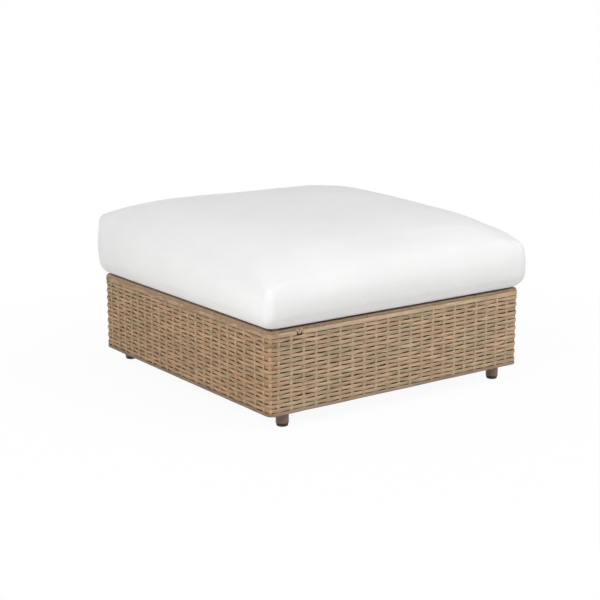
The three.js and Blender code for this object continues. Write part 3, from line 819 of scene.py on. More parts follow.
def build_rim():
    count = round(STRAIGHT / WRAP_WIDTH)
    pitch = STRAIGHT / count
    leg_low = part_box("frame_top_rail_front")[0].z + WRAP_LEG_RISE
    strap_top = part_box("deck_strap_lengthwise_1")[1].z + WRAP_STRAP_GAP
    for side, name in enumerate(SIDE_NAMES):
        random = np.random.default_rng(400 + side)
        skin = Skin()
        outward, sideways = turned((0, -1), side), turned((1, 0), side)
        spans = crossing_spans(side)
        for number in range(count):
            place = (number + 0.5) * pitch - STRAIGHT / 2
            real_place = place if side in (0, 1) else -place
            mitre = BASE_HALF - abs(place)
            if mitre < RIM_WIDTH + pitch:
                path = wrap_path(min(mitre, RIM_WIDTH), None)
            else:
                crossed = any(abs(real_place - middle) < half + pitch for middle, half in spans)
                path = wrap_path(RIM_WIDTH, strap_top if crossed else leg_low)
            base = turned((place, -BASE_HALF), side)
            uneven = np.array([random.normal(0, size) for size in WRAP_UNEVEN])
            path = np.asarray(path) + np.abs(uneven) * (1, -1)
            width = (pitch - WRAP_GAP) * random.uniform(0.96, 1.03)
            ribbon(skin, base, outward, sideways, path, width, WRAP_THICKNESS, random, **WRAP_SECTION)
        corner = turned((STRAIGHT / 2, -STRAIGHT / 2), side)
        path = np.asarray(wrap_path(CORNER_RADIUS - CORNER_WRAP_END, None))
        width = (CORNER_RADIUS - path[:, 0]) / CORNER_RADIUS * ARC_LENGTH / CORNER_WRAPS - WRAP_GAP
        width = np.maximum(width, WRAP_TIP)
        for number in range(CORNER_WRAPS):
            angle = (number + 0.5) / CORNER_WRAPS * TAU / 4
            direction = turned((math.sin(angle), -math.cos(angle)), side)
            across = turned((math.cos(angle), math.sin(angle)), side)
            base = corner + CORNER_RADIUS * direction
            ribbon(skin, base, direction, across, path, width, WRAP_THICKNESS, random, **WRAP_SECTION)
        # The wraps take the darker look: painted shadow of the cushion's overhang
        skin.place(f"wicker_rim_wrap_{name}", "wrap_painted_shadow", "base", "wicker_rim", [f"wicker_rim_{name}"])


def build_rim_strand():
    """The flat strand round the rim, with a V tie over its joint near the front left corner."""
    random = np.random.default_rng(410)
    skin = Skin()
    middle = TIE_PLACE - CORNER_RADIUS
    values = {"jitter": 0.4, "twist": 0.04, "gap": (middle - TIE_GAP / 2, middle + TIE_GAP / 2)}
    section = (RIM_STRAND_DEPTH, RIM_STRAND_WIDTH, RIM_STRAND_THICKNESS)
    strand_ring(skin, WICKER_TOP - RIM_STRAND_DROP, *section, random, **values)
    across, out = oval(TIE_WIDTH, TIE_THICKNESS, STRAND_POINTS, 0.6)
    shares = np.linspace(0, 1, TIE_STEPS)[:, None]
    for side, depth in zip((-1, 1), TIE_DEPTHS):
        slope = math.atan2(TIE_BOTTOM - TIE_TOP, -side * TIE_REACH)
        x = TIE_PLACE - BASE_HALF + TIE_REACH * side * (1 - shares) + across * math.sin(slope)
        depths = depth + TIE_TUCK * np.clip(1 - 3 * shares, 0, 1) ** 2
        z = WICKER_TOP - TIE_TOP - (TIE_BOTTOM - TIE_TOP) * shares + across * math.cos(slope)
        skin.add(stacked(x, -BASE_HALF + depths - out, z), caps=True)
    skin.place("wicker_rim_strand", "rim", "base", "wicker_rim")


# Frame of square tube


def tube_loop(low, high, level, axis, inset, radius, steps=4):
    """A rounded square of points across a bar, at one level along its axis."""
    across = [k for k in range(3) if k != axis]
    points = []
    for quarter, corner in enumerate(((1, 1), (0, 1), (0, 0), (1, 0))):
        for angle in (quarter + np.arange(steps + 1) / steps) * TAU / 4:
            point = np.full(3, float(level))
            for k, far, reach in zip(across, corner, (math.cos(angle), math.sin(angle))):
                centre = high[k] - inset - radius if far else low[k] + inset + radius
                point[k] = centre + radius * reach
            points.append(point)
    return np.array(points)


def square_tube(node, axis, wall=1.6 * MM, radius=3 * MM, edge=0.3 * MM):
    """A hollow square tube with rounded edges in place of a CAD one."""
    low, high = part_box(node)
    start, end = low[axis], high[axis]
    stations = [(start + edge, 0), (end - edge, 0), (end, edge), (end, wall - edge)]
    stations += [(end - edge, wall), (start + edge, wall), (start, wall - edge), (start, edge)]
    rows = [tube_loop(low, high, level, axis, inset, radius - inset) for level, inset in stations]
    skin = Skin()
    skin.add(np.array(rows), wrap_rows=True)
    skin.place(f"{node}_tube", "frame", "base", "frame", [node], sharp=40)


def build_frame():
    for level in ("top", "bottom"):
        for side, axis in RAILS:
            square_tube(f"frame_{level}_rail_{side}", axis)
    for corner in CORNERS:
        square_tube(f"frame_corner_post_{corner}", 2)
    for side in SIDE_NAMES:
        square_tube(f"frame_mid_post_{side}", 2, radius=2.5 * MM)
    for side in ("left", "right"):
        square_tube(f"frame_seat_brace_{side}", 1, radius=2.5 * MM)


def weld_bead(skin, corners, random, radius=1.7 * MM):
    """A rippled fillet weld along a run of points."""
    step, wave, end = 0.6 * MM, 2.6 * MM, 1.5 * MM
    corners = np.asarray(corners, float)
    lengths = running_length(corners)
    at = np.arange(0, lengths[-1], step)
    line = np.stack([np.interp(at, lengths, corners[:, k]) for k in range(3)], 1)
    upright = np.abs(unit(np.gradient(line, axis=0))[:, 2:]) > 0.7
    helper = np.where(upright, (1.0, 0.3, 0.0), (0.0, 0.0, 1.0))
    size = radius * (0.86 + 0.14 * np.cos(TAU * at / wave + random.uniform(0, TAU)))
    size *= np.clip(np.minimum(at, lengths[-1] - at) / end, 0.35, 1)
    skin.add(round_tube(line, helper, size[:, None, None], 8), caps=True)


def build_welds():
    """Fillets where the rails meet the posts and where the braces meet the rails, on the inner sides."""
    random = np.random.default_rng(500)
    skin = Skin()
    for level in ("top", "bottom"):
        for side, axis in RAILS:
            low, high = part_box(f"frame_{level}_rail_{side}")
            inner, outer = sorted((low[1 - axis], high[1 - axis]), key=abs)
            for end in (low[axis], high[axis]):
                run = [(inner, high.z), (inner, low.z), (outer, low.z)]
                run = [(end, across, z) if axis == 0 else (across, end, z) for across, z in run]
                weld_bead(skin, run[:2], random)
                weld_bead(skin, run[1:], random)
    for side in SIDE_NAMES:
        low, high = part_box(f"frame_mid_post_{side}")
        corners = [(low.x, low.y), (high.x, low.y), (high.x, high.y), (low.x, high.y)]
        for z in (low.z, high.z):
            for first, last in zip(corners, corners[1:] + corners[:1]):
                ends = np.array([first, last])
                on_outer_face = np.abs(ends.mean(axis=0)).max() >= np.abs(ends).max() - 1 * MM
                if not on_outer_face:
                    weld_bead(skin, [(*first, z), (*last, z)], random)
    for side in ("left", "right"):
        low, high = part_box(f"frame_seat_brace_{side}")
        for y in (low.y, high.y):
            run = [(low.x, high.z), (low.x, low.z), (high.x, low.z), (high.x, high.z)]
            weld_bead(skin, [(x, y, z) for x, z in run], random)
    skin.place("frame_weld_beads", "frame", "base", "frame")


# Feet


def turned_piece(name, profile, centre, look, body, slot, node, closed=True):
    """A piece turned on a lathe from (radius, height) points. A closed profile makes a ring."""
    segments = 96
    profile = np.asarray(profile, float)
    skin = Skin()
    grid = lathe_grid(centre, profile[:, :1], profile[:, 1:], np.arange(segments) * TAU / segments)
    skin.add(grid, wrap_rows=closed, caps=not closed)
    skin.place(name, look, body, slot, [node], sharp=40)


def rounded_profile(corners):
    """A profile from (radius, height, rounding) corners, each with its own rounding; 0 leaves it sharp."""
    points = np.array([corner[:2] for corner in corners], float)
    result = []
    for k, (point, (_, _, radius)) in enumerate(zip(points, corners)):
        if not radius:
            result.append(point)
            continue
        first, last = (point + unit(points[n % len(points)] - point) * radius for n in (k - 1, k + 1))
        result += [(1 - t) ** 2 * first + 2 * t * (1 - t) * point + t**2 * last for t in np.linspace(0, 1, 5)]
    return result


def foot_axis(name):
    """Middle (x, y) and radius of a foot tube."""
    low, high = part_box(f"foot_tube_{name}")
    return ((low.x + high.x) / 2, (low.y + high.y) / 2), (high.x - low.x) / 2


def build_foot(name):
    tube_low, tube_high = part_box(f"foot_tube_{name}")
    insert_low, insert_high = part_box(f"foot_insert_{name}")
    pad_low, pad_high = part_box(f"glide_pad_{name}")
    centre, radius = foot_axis(name)
    bore = radius - 2 * MM
    edge = 0.5 * MM
    low, high = tube_low.z, tube_high.z
    corners = ((bore, low), (radius, low), (radius, high), (bore, high))
    profile = rounded_profile([(*corner, edge) for corner in corners])
    turned_piece(f"foot_tube_{name}_round", profile, centre, "foot", "base", "foot", f"foot_tube_{name}")

    flange_top = low - 0.3 * MM
    thread = 4.3 * MM
    plug = bore - 0.35 * MM
    profile = rounded_profile([
        (thread, insert_low.z, 0.4 * MM),
        (radius - 0.4 * MM, insert_low.z, 0.8 * MM),
        (radius - 0.1 * MM, flange_top, 0.2 * MM),
        (plug, flange_top, 0.2 * MM),
        (plug, insert_high.z, 1 * MM),
        (thread, insert_high.z, 0.4 * MM),
    ])
    node = f"foot_insert_{name}"
    turned_piece(f"{node}_plug", profile, centre, "plastic", "base", "glide_plastic", node)

    rim = (pad_high.x - pad_low.x) / 2
    top = pad_high.z
    core, well = 0.3 * MM, 2.7 * MM
    profile = rounded_profile([
        (core, 0, 0),
        (rim - 1.6 * MM, 0, 1.6 * MM),
        (rim, 2.4 * MM, 1.2 * MM),
        (rim, top - 2.2 * MM, 0.8 * MM),
        (rim - 1.2 * MM, top, 0.5 * MM),
        (thread, top, 0.4 * MM),
        (thread, well, 0.2 * MM),
        (core, well, 0),
    ])
    node = f"glide_pad_{name}"
    body = f"glide_{name}"
    turned_piece(f"{node}_foot", profile, centre, "plastic", body, "glide_plastic", node, closed=False)


def build_stem(name):
    """A threaded steel stem with a chamfered tip."""
    pitch, depth, segments = 1.25 * MM, 0.55 * MM, 32
    tip_length, tip_depth = 1.2 * MM, 1.1 * MM
    low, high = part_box(f"glide_stem_{name}")
    centre, _ = foot_axis(name)
    radius = (high.x - low.x) / 2
    angles = np.arange(segments) * TAU / segments
    levels = np.arange(low.z, high.z, pitch / 8)[:, None]
    tooth = np.abs((levels / pitch - angles / TAU) % 1.0 - 0.5) * 2
    radii = radius - depth * np.clip(1.3 * tooth - 0.15, 0, 1)
    chamfer = np.clip((high.z - levels) / tip_length, 0, 1)
    radii = np.minimum(radii, radius - tip_depth * (1 - chamfer))
    skin = Skin()
    skin.add(lathe_grid(centre, radii, levels, angles), caps=True)
    skin.place(f"glide_stem_{name}_thread", "steel", f"glide_{name}", "steel", [f"glide_stem_{name}"])


def build_foot_plate(name):
    low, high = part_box(f"foot_plate_{name}")
    edge, radius = 0.5 * MM, 5 * MM
    stations = ((low.z, edge), (low.z + edge, 0), (high.z - edge, 0), (high.z, edge))
    rows = [tube_loop(low, high, level, 2, inset, radius - inset, steps=7) for level, inset in stations]
    skin = Skin()
    skin.add(np.array(rows), caps=True)
    skin.place(f"foot_plate_{name}_flat", "frame", "base", "frame", [f"foot_plate_{name}"], sharp=40)


def build_feet():
    random = np.random.default_rng(520)
    skin = Skin()
    for name in CORNERS:
        build_foot(name)
        build_stem(name)
        build_foot_plate(name)
        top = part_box(f"foot_tube_{name}")[1].z
        run = lathe_grid(*foot_axis(name), top - 0.4 * MM, np.linspace(0, TAU, 60))
        weld_bead(skin, run, random, radius=1.3 * MM)
    skin.place("foot_weld_beads", "foot", "base", "foot")


# Webbing deck


def strap(node, along, heights, middle, axis):
    """A flat woven strap with thicker selvedges, along one axis at these heights."""
    width, thickness = 60 * MM, 1.4 * MM
    shares = np.array([-0.5, -0.485, -0.46, -0.43, -0.3, -0.1, 0.1, 0.3, 0.43, 0.46, 0.485, 0.5])
    swell = np.array([0.35, 0.9, 1.0, 0.8, 0.78, 0.78, 0.78, 0.78, 0.8, 1.0, 0.9, 0.35])
    across = middle + np.roll(np.concatenate([shares, shares[::-1]]), 1) * width
    up = np.roll(np.concatenate([-swell, swell[::-1]]), 1) * thickness / 2
    plan = (along[:, None], across) if axis == 0 else (across, along[:, None])
    grid = stacked(*plan, heights[:, None] + up)
    skin = Skin()
    skin.add(grid, along=along + 1, across=running_length(grid[0]))
    count = len(across)
    for row, flip in ((0, False), (len(along) - 1, True)):
        skin.close((cap_faces(count, 0, flip) + 1) % count + row * count)
    skin.place(f"{node}_webbing", "webbing", "base", "webbing", [node])


def strap_nodes(way):
    return sorted(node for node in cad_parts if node.startswith(f"deck_strap_{way}"))


def build_deck():
    """Crosswise straps weave over and under the lengthwise ones."""
    half_width, ramp_length = 30.3 * MM, 18 * MM
    low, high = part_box("deck_strap_lengthwise_1")
    level = (low.z + high.z) / 2
    lift = high.z - low.z + 0.3 * MM
    middles = []
    for node in strap_nodes("lengthwise"):
        low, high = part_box(node)
        middles.append((low.x + high.x) / 2)
        strap(node, np.linspace(low.y, high.y, 40), np.full(40, level), middles[-1], 1)
    for row, node in enumerate(strap_nodes("crosswise")):
        low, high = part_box(node)
        along = np.linspace(low.x, high.x, 220)
        heights = np.full_like(along, level)
        for k, middle in enumerate(middles):
            over = lift if (k + row) % 2 == 0 else -lift
            heights += over * smooth_step(1 - (np.abs(along - middle) - half_width) / ramp_length)
        strap(node, along, heights, (low.y + high.y) / 2, 0)


def build_rivets():
    """Low dome rivets that hold each strap's ends to the rails, under the rim's wrapping."""
    inset, spread, head, rise, sink = 11 * MM, 17 * MM, 4.5 * MM, 0.9 * MM, 0.2 * MM
    shares = np.array([[1.0], [0.97], [0.8], [0.5], [0.15]])
    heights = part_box("deck_strap_lengthwise_1")[1].z - sink + rise * np.sqrt(1 - shares**2)
    angles = np.arange(20) * TAU / 20
    skin = Skin()
    for node in strap_nodes(""):
        low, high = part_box(node)
        axis = 1 if "lengthwise" in node else 0
        middle = (low[1 - axis] + high[1 - axis]) / 2
        for end in (low[axis] + inset, high[axis] - inset):
            for across in (middle - spread, middle + spread):
                centre = (end, across) if axis == 0 else (across, end)
                skin.add(lathe_grid(centre, head * shares, heights, angles), caps=True)
    skin.place("deck_strap_rivets", "steel", "base", "steel")


# Cushion


def crown_level(x, y):
    """Height of the cushion's top over the floor at (x, y)."""
    u = np.clip(x / CUSHION_HALF, -1, 1)
    w = np.clip(y / CUSHION_HALF, -1, 1)
    right, back = (1 + u) / 2, (1 + w) / 2
    front_height = HEIGHT_FRONT_LEFT * (1 - right) + HEIGHT_FRONT_RIGHT * right
    back_height = HEIGHT_BACK_LEFT * (1 - right) + HEIGHT_BACK_RIGHT * right
    full_x, full_y = 1 - np.abs(u) ** CROWN_POWER, 1 - np.abs(w) ** CROWN_POWER
    edges = full_x * (RISE_FRONT * (1 - back) + RISE_BACK * back)
    sides = full_y * (RISE_LEFT * (1 - right) + RISE_RIGHT * right)
    corners = front_height * (1 - back) + back_height * back
    return WICKER_TOP + corners + edges + sides + RISE_CENTRE * full_x * full_y


def ring_outline(side_count, arc_count):
    """Where a loop's points lie on a rounded square: side, share along it, share round its corner."""
    places = []
    for side in range(4):
        places += [(side, k / side_count, 0.0) for k in range(side_count)]
        places += [(side, 1.0, k / arc_count) for k in range(arc_count)]
    return np.array(places)


def loop_points(places, half, radius):
    """Points (x, y) and outward directions (x, y) of a rounded square loop."""
    side, along, round_share = places.T
    angle, turn = round_share * TAU / 4, side * TAU / 4
    cos, sin = np.cos(turn), np.sin(turn)
    reach = half - radius
    x, y = (2 * along - 1) * reach + radius * np.sin(angle), -reach - radius * np.cos(angle)
    out_x, out_y = np.sin(angle), -np.cos(angle)
    points = np.stack([x * cos - y * sin, x * sin + y * cos], 1)
    return points, np.stack([out_x * cos - out_y * sin, out_x * sin + out_y * cos], 1)


def edge_distance(points, half, radius):
    """How far points lie inside a rounded square."""
    beyond = np.abs(points) - (half - radius)
    outside = np.linalg.norm(np.maximum(beyond, 0), axis=1)
    return radius - outside - np.minimum(beyond.max(axis=1), 0)


def edge_radius(points):
    """Radius of the top edge: tight at the corners, and soft along the sides, where the filling swells."""
    from_corner = CUSHION_HALF - np.min(np.abs(points), axis=1)
    return UPPER_RADIUS + (SOFT_RADIUS - UPPER_RADIUS) * smooth_step(from_corner / SOFT_REACH)


def cushion_loops(inset, side_count, arc_count, lower, side, upper, top):
    """The cushion's form as loops of points, from the middle underneath to the middle of the top."""
    places = ring_outline(side_count, arc_count)
    half, radius = CUSHION_HALF - inset, CUSHION_CORNER - inset
    base = CUSHION_BASE + inset
    low_inset, low_height = LOWER_INSET - inset, LOWER_HEIGHT - inset
    outline, outs = loop_points(places, half, radius)
    edge_top = crown_level(outline[:, 0], outline[:, 1]) - inset
    loops = []

    def add_loop(points, heights):
        """Adds a loop, swollen outwards by the share of the edge's height that it lies at."""
        heights = np.broadcast_to(heights, len(points))
        share = np.clip((heights - base) / (edge_top - base), 0, 1)
        swell = CUSHION_BULGE * np.sin(math.pi * share) ** 2
        loops.append(np.column_stack([points + outs * swell[:, None], heights]))

    def top_level(points):
        """The crown, less what the rounded top edge takes off near the sides."""
        round_radius = edge_radius(points * half / np.abs(points).max(axis=1)[:, None]) - inset
        past = np.clip(1 - edge_distance(points, half, radius) / round_radius, 0, 1)
        return crown_level(points[:, 0], points[:, 1]) - inset - round_radius * (1 - np.sqrt(1 - past**2))

    for scale in UNDERSIDE_SCALES:
        add_loop(loop_points(places, (half - low_inset) * scale, radius * scale)[0], base)
    for share in lower:
        angle = share * TAU / 4
        points = loop_points(places, half - low_inset * (1 - math.sin(angle)), radius)[0]
        lift = UNDERSIDE_LIFT * math.sin(math.pi * min(share / LIFT_END_SHARE, 1)) ** 2
        add_loop(points, base + lift + low_height * (1 - math.cos(angle)))
    start = base + low_height
    for share in side:
        add_loop(outline, start + (top_level(outline) - start) * share)
    scales = [1 - SOFT_RADIUS / half * (1 - math.cos(share * TAU / 4)) for share in upper]
    scales += [(1 - SOFT_RADIUS / half) * scale for scale in top]
    for scale in scales:
        add_loop(outline * scale, top_level(outline * scale))
    return np.array(loops)


def fine_shares(seam, spread, count):
    """Shares from 0 to 1 with extra ones close to a seam."""
    near = seam + SEAM_SPREAD * spread
    far = [share for share in np.linspace(0, 1, count) if abs(share - seam) > spread * 1.3]
    return np.unique(np.round(np.concatenate([near, far]), 6))


def grid_normals(grid):
    """Outward unit normals of a closed stack of loops, averaged over the faces round each point."""
    ahead = np.roll(grid, -1, axis=1)
    faces = np.cross(ahead[1:] - grid[:-1], grid[1:] - ahead[:-1])
    if np.einsum("ijk,ijk->", faces, grid[:-1] - grid.mean(axis=(0, 1))) < 0:
        faces = -faces
    faces = faces + np.roll(faces, 1, axis=1)
    normals = np.concatenate([faces[:1], faces[1:] + faces[:-1], faces[-1:]])
    return normals / np.maximum(np.linalg.norm(normals, axis=2), 1e-15)[:, :, None]


def evaluated_mesh(thing):
    graph = bpy.context.evaluated_depsgraph_get()
    return bpy.data.meshes.new_from_object(thing.evaluated_get(graph))


def coordinates(mesh):
    flat = np.empty(len(mesh.vertices) * 3)
    mesh.vertices.foreach_get("co", flat)
    return flat.reshape(-1, 3)


def search_tree(points):
    tree = kdtree.KDTree(len(points))
    for k, point in enumerate(points):
        tree.insert(point, k)
    tree.balance()
    return tree


def seam_lines():
    """Points along the seams: lower edge, top edge and the four upright corners."""
    lower = cushion_loops(0, 300, 16, [LOWER_SEAM_SHARE], [], [], [])[-1]
    top = cushion_loops(0, 300, 16, [], [], [UPPER_SEAM_SHARE], [])[-1]
    rising, closing = np.linspace(LOWER_SEAM_SHARE, 1, 12), np.linspace(0, UPPER_SEAM_SHARE, 8)
    loops = cushion_loops(0, 1, 2, rising, np.linspace(0, 1, 40)[1:-1], closing, [])
    corners = [loops[len(UNDERSIDE_SCALES):, side * 3 + 2] for side in range(4)]
    return np.concatenate([lower, top] + corners)


seam_tree = search_tree(seam_lines())


def seam_distance(points):
    return np.array([seam_tree.find(point)[2] for point in points])


def zip_mask(points):
    """0 on the zip and near it, where the cover keeps its place, 1 away from it."""
    low, high = np.array(zip_low), np.array(zip_high)
    over = np.maximum(np.abs(points - (low + high) / 2) - (high - low) / 2, 0)
    return smooth_step(np.linalg.norm(over, axis=1) / ZIP_REACH)


def pressed_cloth():
    """Swells a copy of the cushion by cloth pressure between its seams.

    Gives rest points and how far each one moved.
    """
    shares = np.linspace(0, 1, 7)
    loops = cushion_loops(CLOTH_INSET, 64, 4, shares, shares[1:-1], shares, np.linspace(0.95, 0.02, 24))
    rows, columns = loops.shape[:2]
    caps = [cap_faces(columns, 0, True), cap_faces(columns, (rows - 1) * columns, False)]
    faces = np.concatenate([grid_faces(rows, columns, False, True)] + caps)
    cage = mesh_object("cloth_cage", loops.reshape(-1, 3), faces)
    remesh = cage.modifiers.new("remesh", "REMESH")
    remesh.mode = "VOXEL"
    remesh.voxel_size = CLOTH_VOXEL
    body = link("cloth_body", evaluated_mesh(cage))
    rest = coordinates(body.data)

    held = np.clip(1 - (seam_distance(rest) - CLOTH_INSET) / CLOTH_HOLD, 0, 1)
    held = np.maximum(held, 1 - zip_mask(rest))
    held[rest[:, 2] < CUSHION_BASE + CLOTH_INSET + 2 * MM] = 1
    group = body.vertex_groups.new(name="held")
    for k, weight in enumerate(held):
        if weight > 0.01:
            group.add([k], float(weight), "REPLACE")

    cloth = body.modifiers.new("cloth", "CLOTH")
    settings = cloth.settings
    settings.quality = 5
    settings.mass = 0.3
    settings.tension_stiffness = 20
    settings.compression_stiffness = 12
    settings.shear_stiffness = 6
    settings.bending_stiffness = 0.4
    settings.use_pressure = True
    settings.uniform_pressure_force = 9
    settings.vertex_group_mass = "held"
    settings.effector_weights.gravity = 0
    cloth.point_cache.frame_start = 1
    cloth.point_cache.frame_end = CLOTH_FRAMES
    for number in range(1, CLOTH_FRAMES + 1):
        bpy.context.scene.frame_set(number)
    moved = coordinates(evaluated_mesh(body)) - rest
    bpy.context.scene.frame_set(1)
    for thing in (body, cage):
        bpy.data.objects.remove(thing)
    size = np.linalg.norm(moved, axis=1)
    capped = np.tanh(size / CLOTH_CAP) * CLOTH_CAP
    return rest, moved * (capped / np.maximum(size, 1e-9))[:, None]


def carried(points, rest, moved, nearest=6):
    """The cloth's movement, read at other points from their neighbours, the near ones counting most."""
    tree = search_tree(rest)
    result = np.zeros_like(points)
    for k, point in enumerate(points):
        found = tree.find_n(point, nearest)
        weights = np.array([1 / (distance + 2 * MM) ** 2 for _, _, distance in found])
        result[k] = (moved[[i for _, i, _ in found]] * weights[:, None]).sum(0) / weights.sum()
    return result


def sewn(grid, normals):
    """Seam valleys with fine puckers beside them, and soft tension folds running in from the corners."""
    x, y, z = grid[:, :, 0], grid[:, :, 1], grid[:, :, 2]
    distance = seam_distance(grid.reshape(-1, 3)).reshape(x.shape)
    round_share = np.arange(grid.shape[1]) / grid.shape[1]
    random = np.random.default_rng(600)
    pucker = np.zeros(grid.shape[1])
    for _ in range(9):
        waves = random.integers(170, 250)
        pucker += np.sin(TAU * waves * round_share + random.uniform(0, TAU)) / 3
    valley = -SEAM_DEPTH * np.exp(-((distance / (1.3 * MM)) ** 2))
    shoulder = PUCKER * np.exp(-(((distance - 5 * MM) / (4 * MM)) ** 2))
    beside = PUCKER * pucker * np.exp(-distance / (9 * MM)) * (1 - np.exp(-distance / (1.5 * MM)))

    across = np.abs(np.abs(x) - np.abs(y)) / (14 * MM)
    from_corner = np.maximum(CUSHION_HALF * math.sqrt(2) - np.hypot(x, y), 0)
    folds = FOLD * np.cos(across + 5 * np.sin(2 * np.arctan2(y, x))) * np.exp(-from_corner / (70 * MM))
    folds *= 1 - np.exp(-distance / (10 * MM))
    above = smooth_step((z - CUSHION_BASE - 4 * MM) / (10 * MM))
    shift = (valley + (shoulder + beside + folds) * above) * zip_mask(grid.reshape(-1, 3)).reshape(x.shape)
    return grid + normals * shift[:, :, None]


def soft_drift(points, size, length, seed, count=12):
    """A gentle unevenness of filled fabric: a few broad waves in space."""
    random = np.random.default_rng(seed)
    total = np.zeros(len(points))
    for _ in range(count):
        direction = unit(random.normal(size=3) * (1, 1, 0.6))
        wavelength = length * random.uniform(0.6, 1.6)
        total += np.sin(points @ direction * TAU / wavelength + random.uniform(0, TAU))
    return total * size / math.sqrt(count)


def build_cushion():
    lower = fine_shares(LOWER_SEAM_SHARE, 0.17, 15)
    upper = fine_shares(UPPER_SEAM_SHARE, 0.4, 9)
    top = 1 - np.linspace(0, 1, 46)[1:] ** 1.15 * 0.985
    grid = cushion_loops(0, 205, 12, lower, np.linspace(0, 1, 17)[1:-1], upper, top)
    flat = grid.reshape(-1, 3)
    free = zip_mask(flat) * smooth_step(seam_distance(flat) / (40 * MM))
    free *= smooth_step((flat[:, 2] - CUSHION_BASE - 2 * MM) / (12 * MM))
    free = free[:, None]
    drift = soft_drift(flat, DRIFT, 190 * MM, 610)[:, None] * free
    shape = flat + grid_normals(grid).reshape(-1, 3) * (drift - COVER_SLACK * free)
    rest, moved = pressed_cloth()
    shape += carried(flat, rest, moved) * free
    shape = shape.reshape(grid.shape)
    skin = Skin()
    skin.add(zip_channel(sewn(shape, grid_normals(shape))), caps=True)
    cover = skin.place("cushion_cover_sewn", "cover", "cushion", "canvas", ["cushion_cover"])

    shares = np.linspace(0, 1, 8)
    skin = Skin()
    scales = np.linspace(0.96, 0.02, 20)
    skin.add(cushion_loops(CORE_INSET, 60, 6, shares, shares[1:-1], shares, scales), caps=True)
    foam = skin.place("cushion_core_foam", "foam", "cushion", "foam", ["cushion_core"])


# Zip


def zip_grid(x, out, up):
    """Points of the zip's own frame (along, outwards, up) in the part's frame."""
    return ZIP_PLACE + stacked(x, out, up) @ np.array([ZIP_ALONG, ZIP_OUT, ZIP_UP])


def zip_channel(grid):
    """Sinks the cover under the tape, so that the tape lies in its slot."""
    margin, slope, reach, depth = 0.6 * MM, 3.5 * MM, 8 * MM, 2.6 * MM
    local = grid - ZIP_PLACE
    up, out = local @ ZIP_UP, local @ ZIP_OUT
    beyond = np.maximum(np.abs(up) - TAPE_HALF - margin, np.abs(local[:, :, 0]) - ZIP_HALF - margin)
    inside = (grid[:, :, 1] > 0) & (np.abs(out) < reach)
    sunk = np.where(inside, smooth_step(1 - beyond / slope), 0)
    shift = np.minimum(-depth - out, 0) * sunk
    return grid + shift[:, :, None] * ZIP_OUT


def bar_along_zip(skin, outline, start, end, steps):
    """A bar of (out, up) outline points along the zip."""
    out, up = np.asarray(outline, float).T
    skin.add(zip_grid(np.linspace(start, end, steps)[:, None], out, up), caps=True)


def build_tape():
    shares = np.array([-1, -0.97, -0.9, -0.5, -0.2, 0.2, 0.5, 0.9, 0.97, 1])
    swell = np.array([0.4, 0.9, 0.75, 0.75, 0.75, 0.75, 0.75, 0.75, 0.9, 0.4])
    up = np.concatenate([shares, shares[::-1]]) * (TAPE_HALF - 0.1 * MM)
    out = TAPE_FACE + (np.concatenate([-swell, swell[::-1]]) - 1) * TAPE_THICKNESS / 2
    skin = Skin()
    half = ZIP_HALF - 0.3 * MM
    bar_along_zip(skin, np.column_stack([out, up]), -half, half, 90)
    skin.place("zip_tape_woven", "tape", "cushion", "zip_tape", ["zip_tape"])


def build_coil():
    """Interlocked coil teeth: short loops of monofilament, from both edges of the tape in turn."""
    skin = Skin()
    arc = np.linspace(-0.5, 0.5, 6) * math.pi
    end = ZIP_HALF - 4 * MM
    for number, x in enumerate(np.arange(-end, end, COIL_PITCH)):
        side = 1 if number % 2 else -1
        up = side * (0.2 * MM + 0.85 * MM * np.cos(arc))
        out = TAPE_FACE + 0.7 * MM + 0.62 * MM * np.sin(arc)
        line = np.column_stack([x + np.linspace(-0.25, 0.25, 6) * COIL_PITCH, out, up])
        skin.add(zip_grid(*np.moveaxis(round_tube(line, ZIP_ALONG, COIL_WIRE, 6), -1, 0)), caps=True)
    low, high, half_foot, half_head = TAPE_FACE, TAPE_FACE + 1.5 * MM, 2 * MM, 1.6 * MM
    outline = [(low, -half_foot), (high, -half_head), (high, half_head), (low, half_foot)]
    for sign in (-1, 1):
        x = sign * (ZIP_HALF - 3 * MM)
        bar_along_zip(skin, outline, x - 1.5 * MM, x + 1.5 * MM, 2)
    skin.place("zip_coil", "zip_plastic", "cushion", "zip_tape")


def cover_rise(up):
    """How far the cover's surface lies outside the zip's plane, this far up or down from it."""
    angles = np.linspace(0, TAU / 4, 400)
    y = CUSHION_HALF - LOWER_INSET * (1 - np.sin(angles))
    z = CUSHION_BASE + LOWER_HEIGHT * (1 - np.cos(angles))
    points = stacked(0.0, y, z) - ZIP_PLACE
    return float(np.interp(up, points @ ZIP_UP, points @ ZIP_OUT))


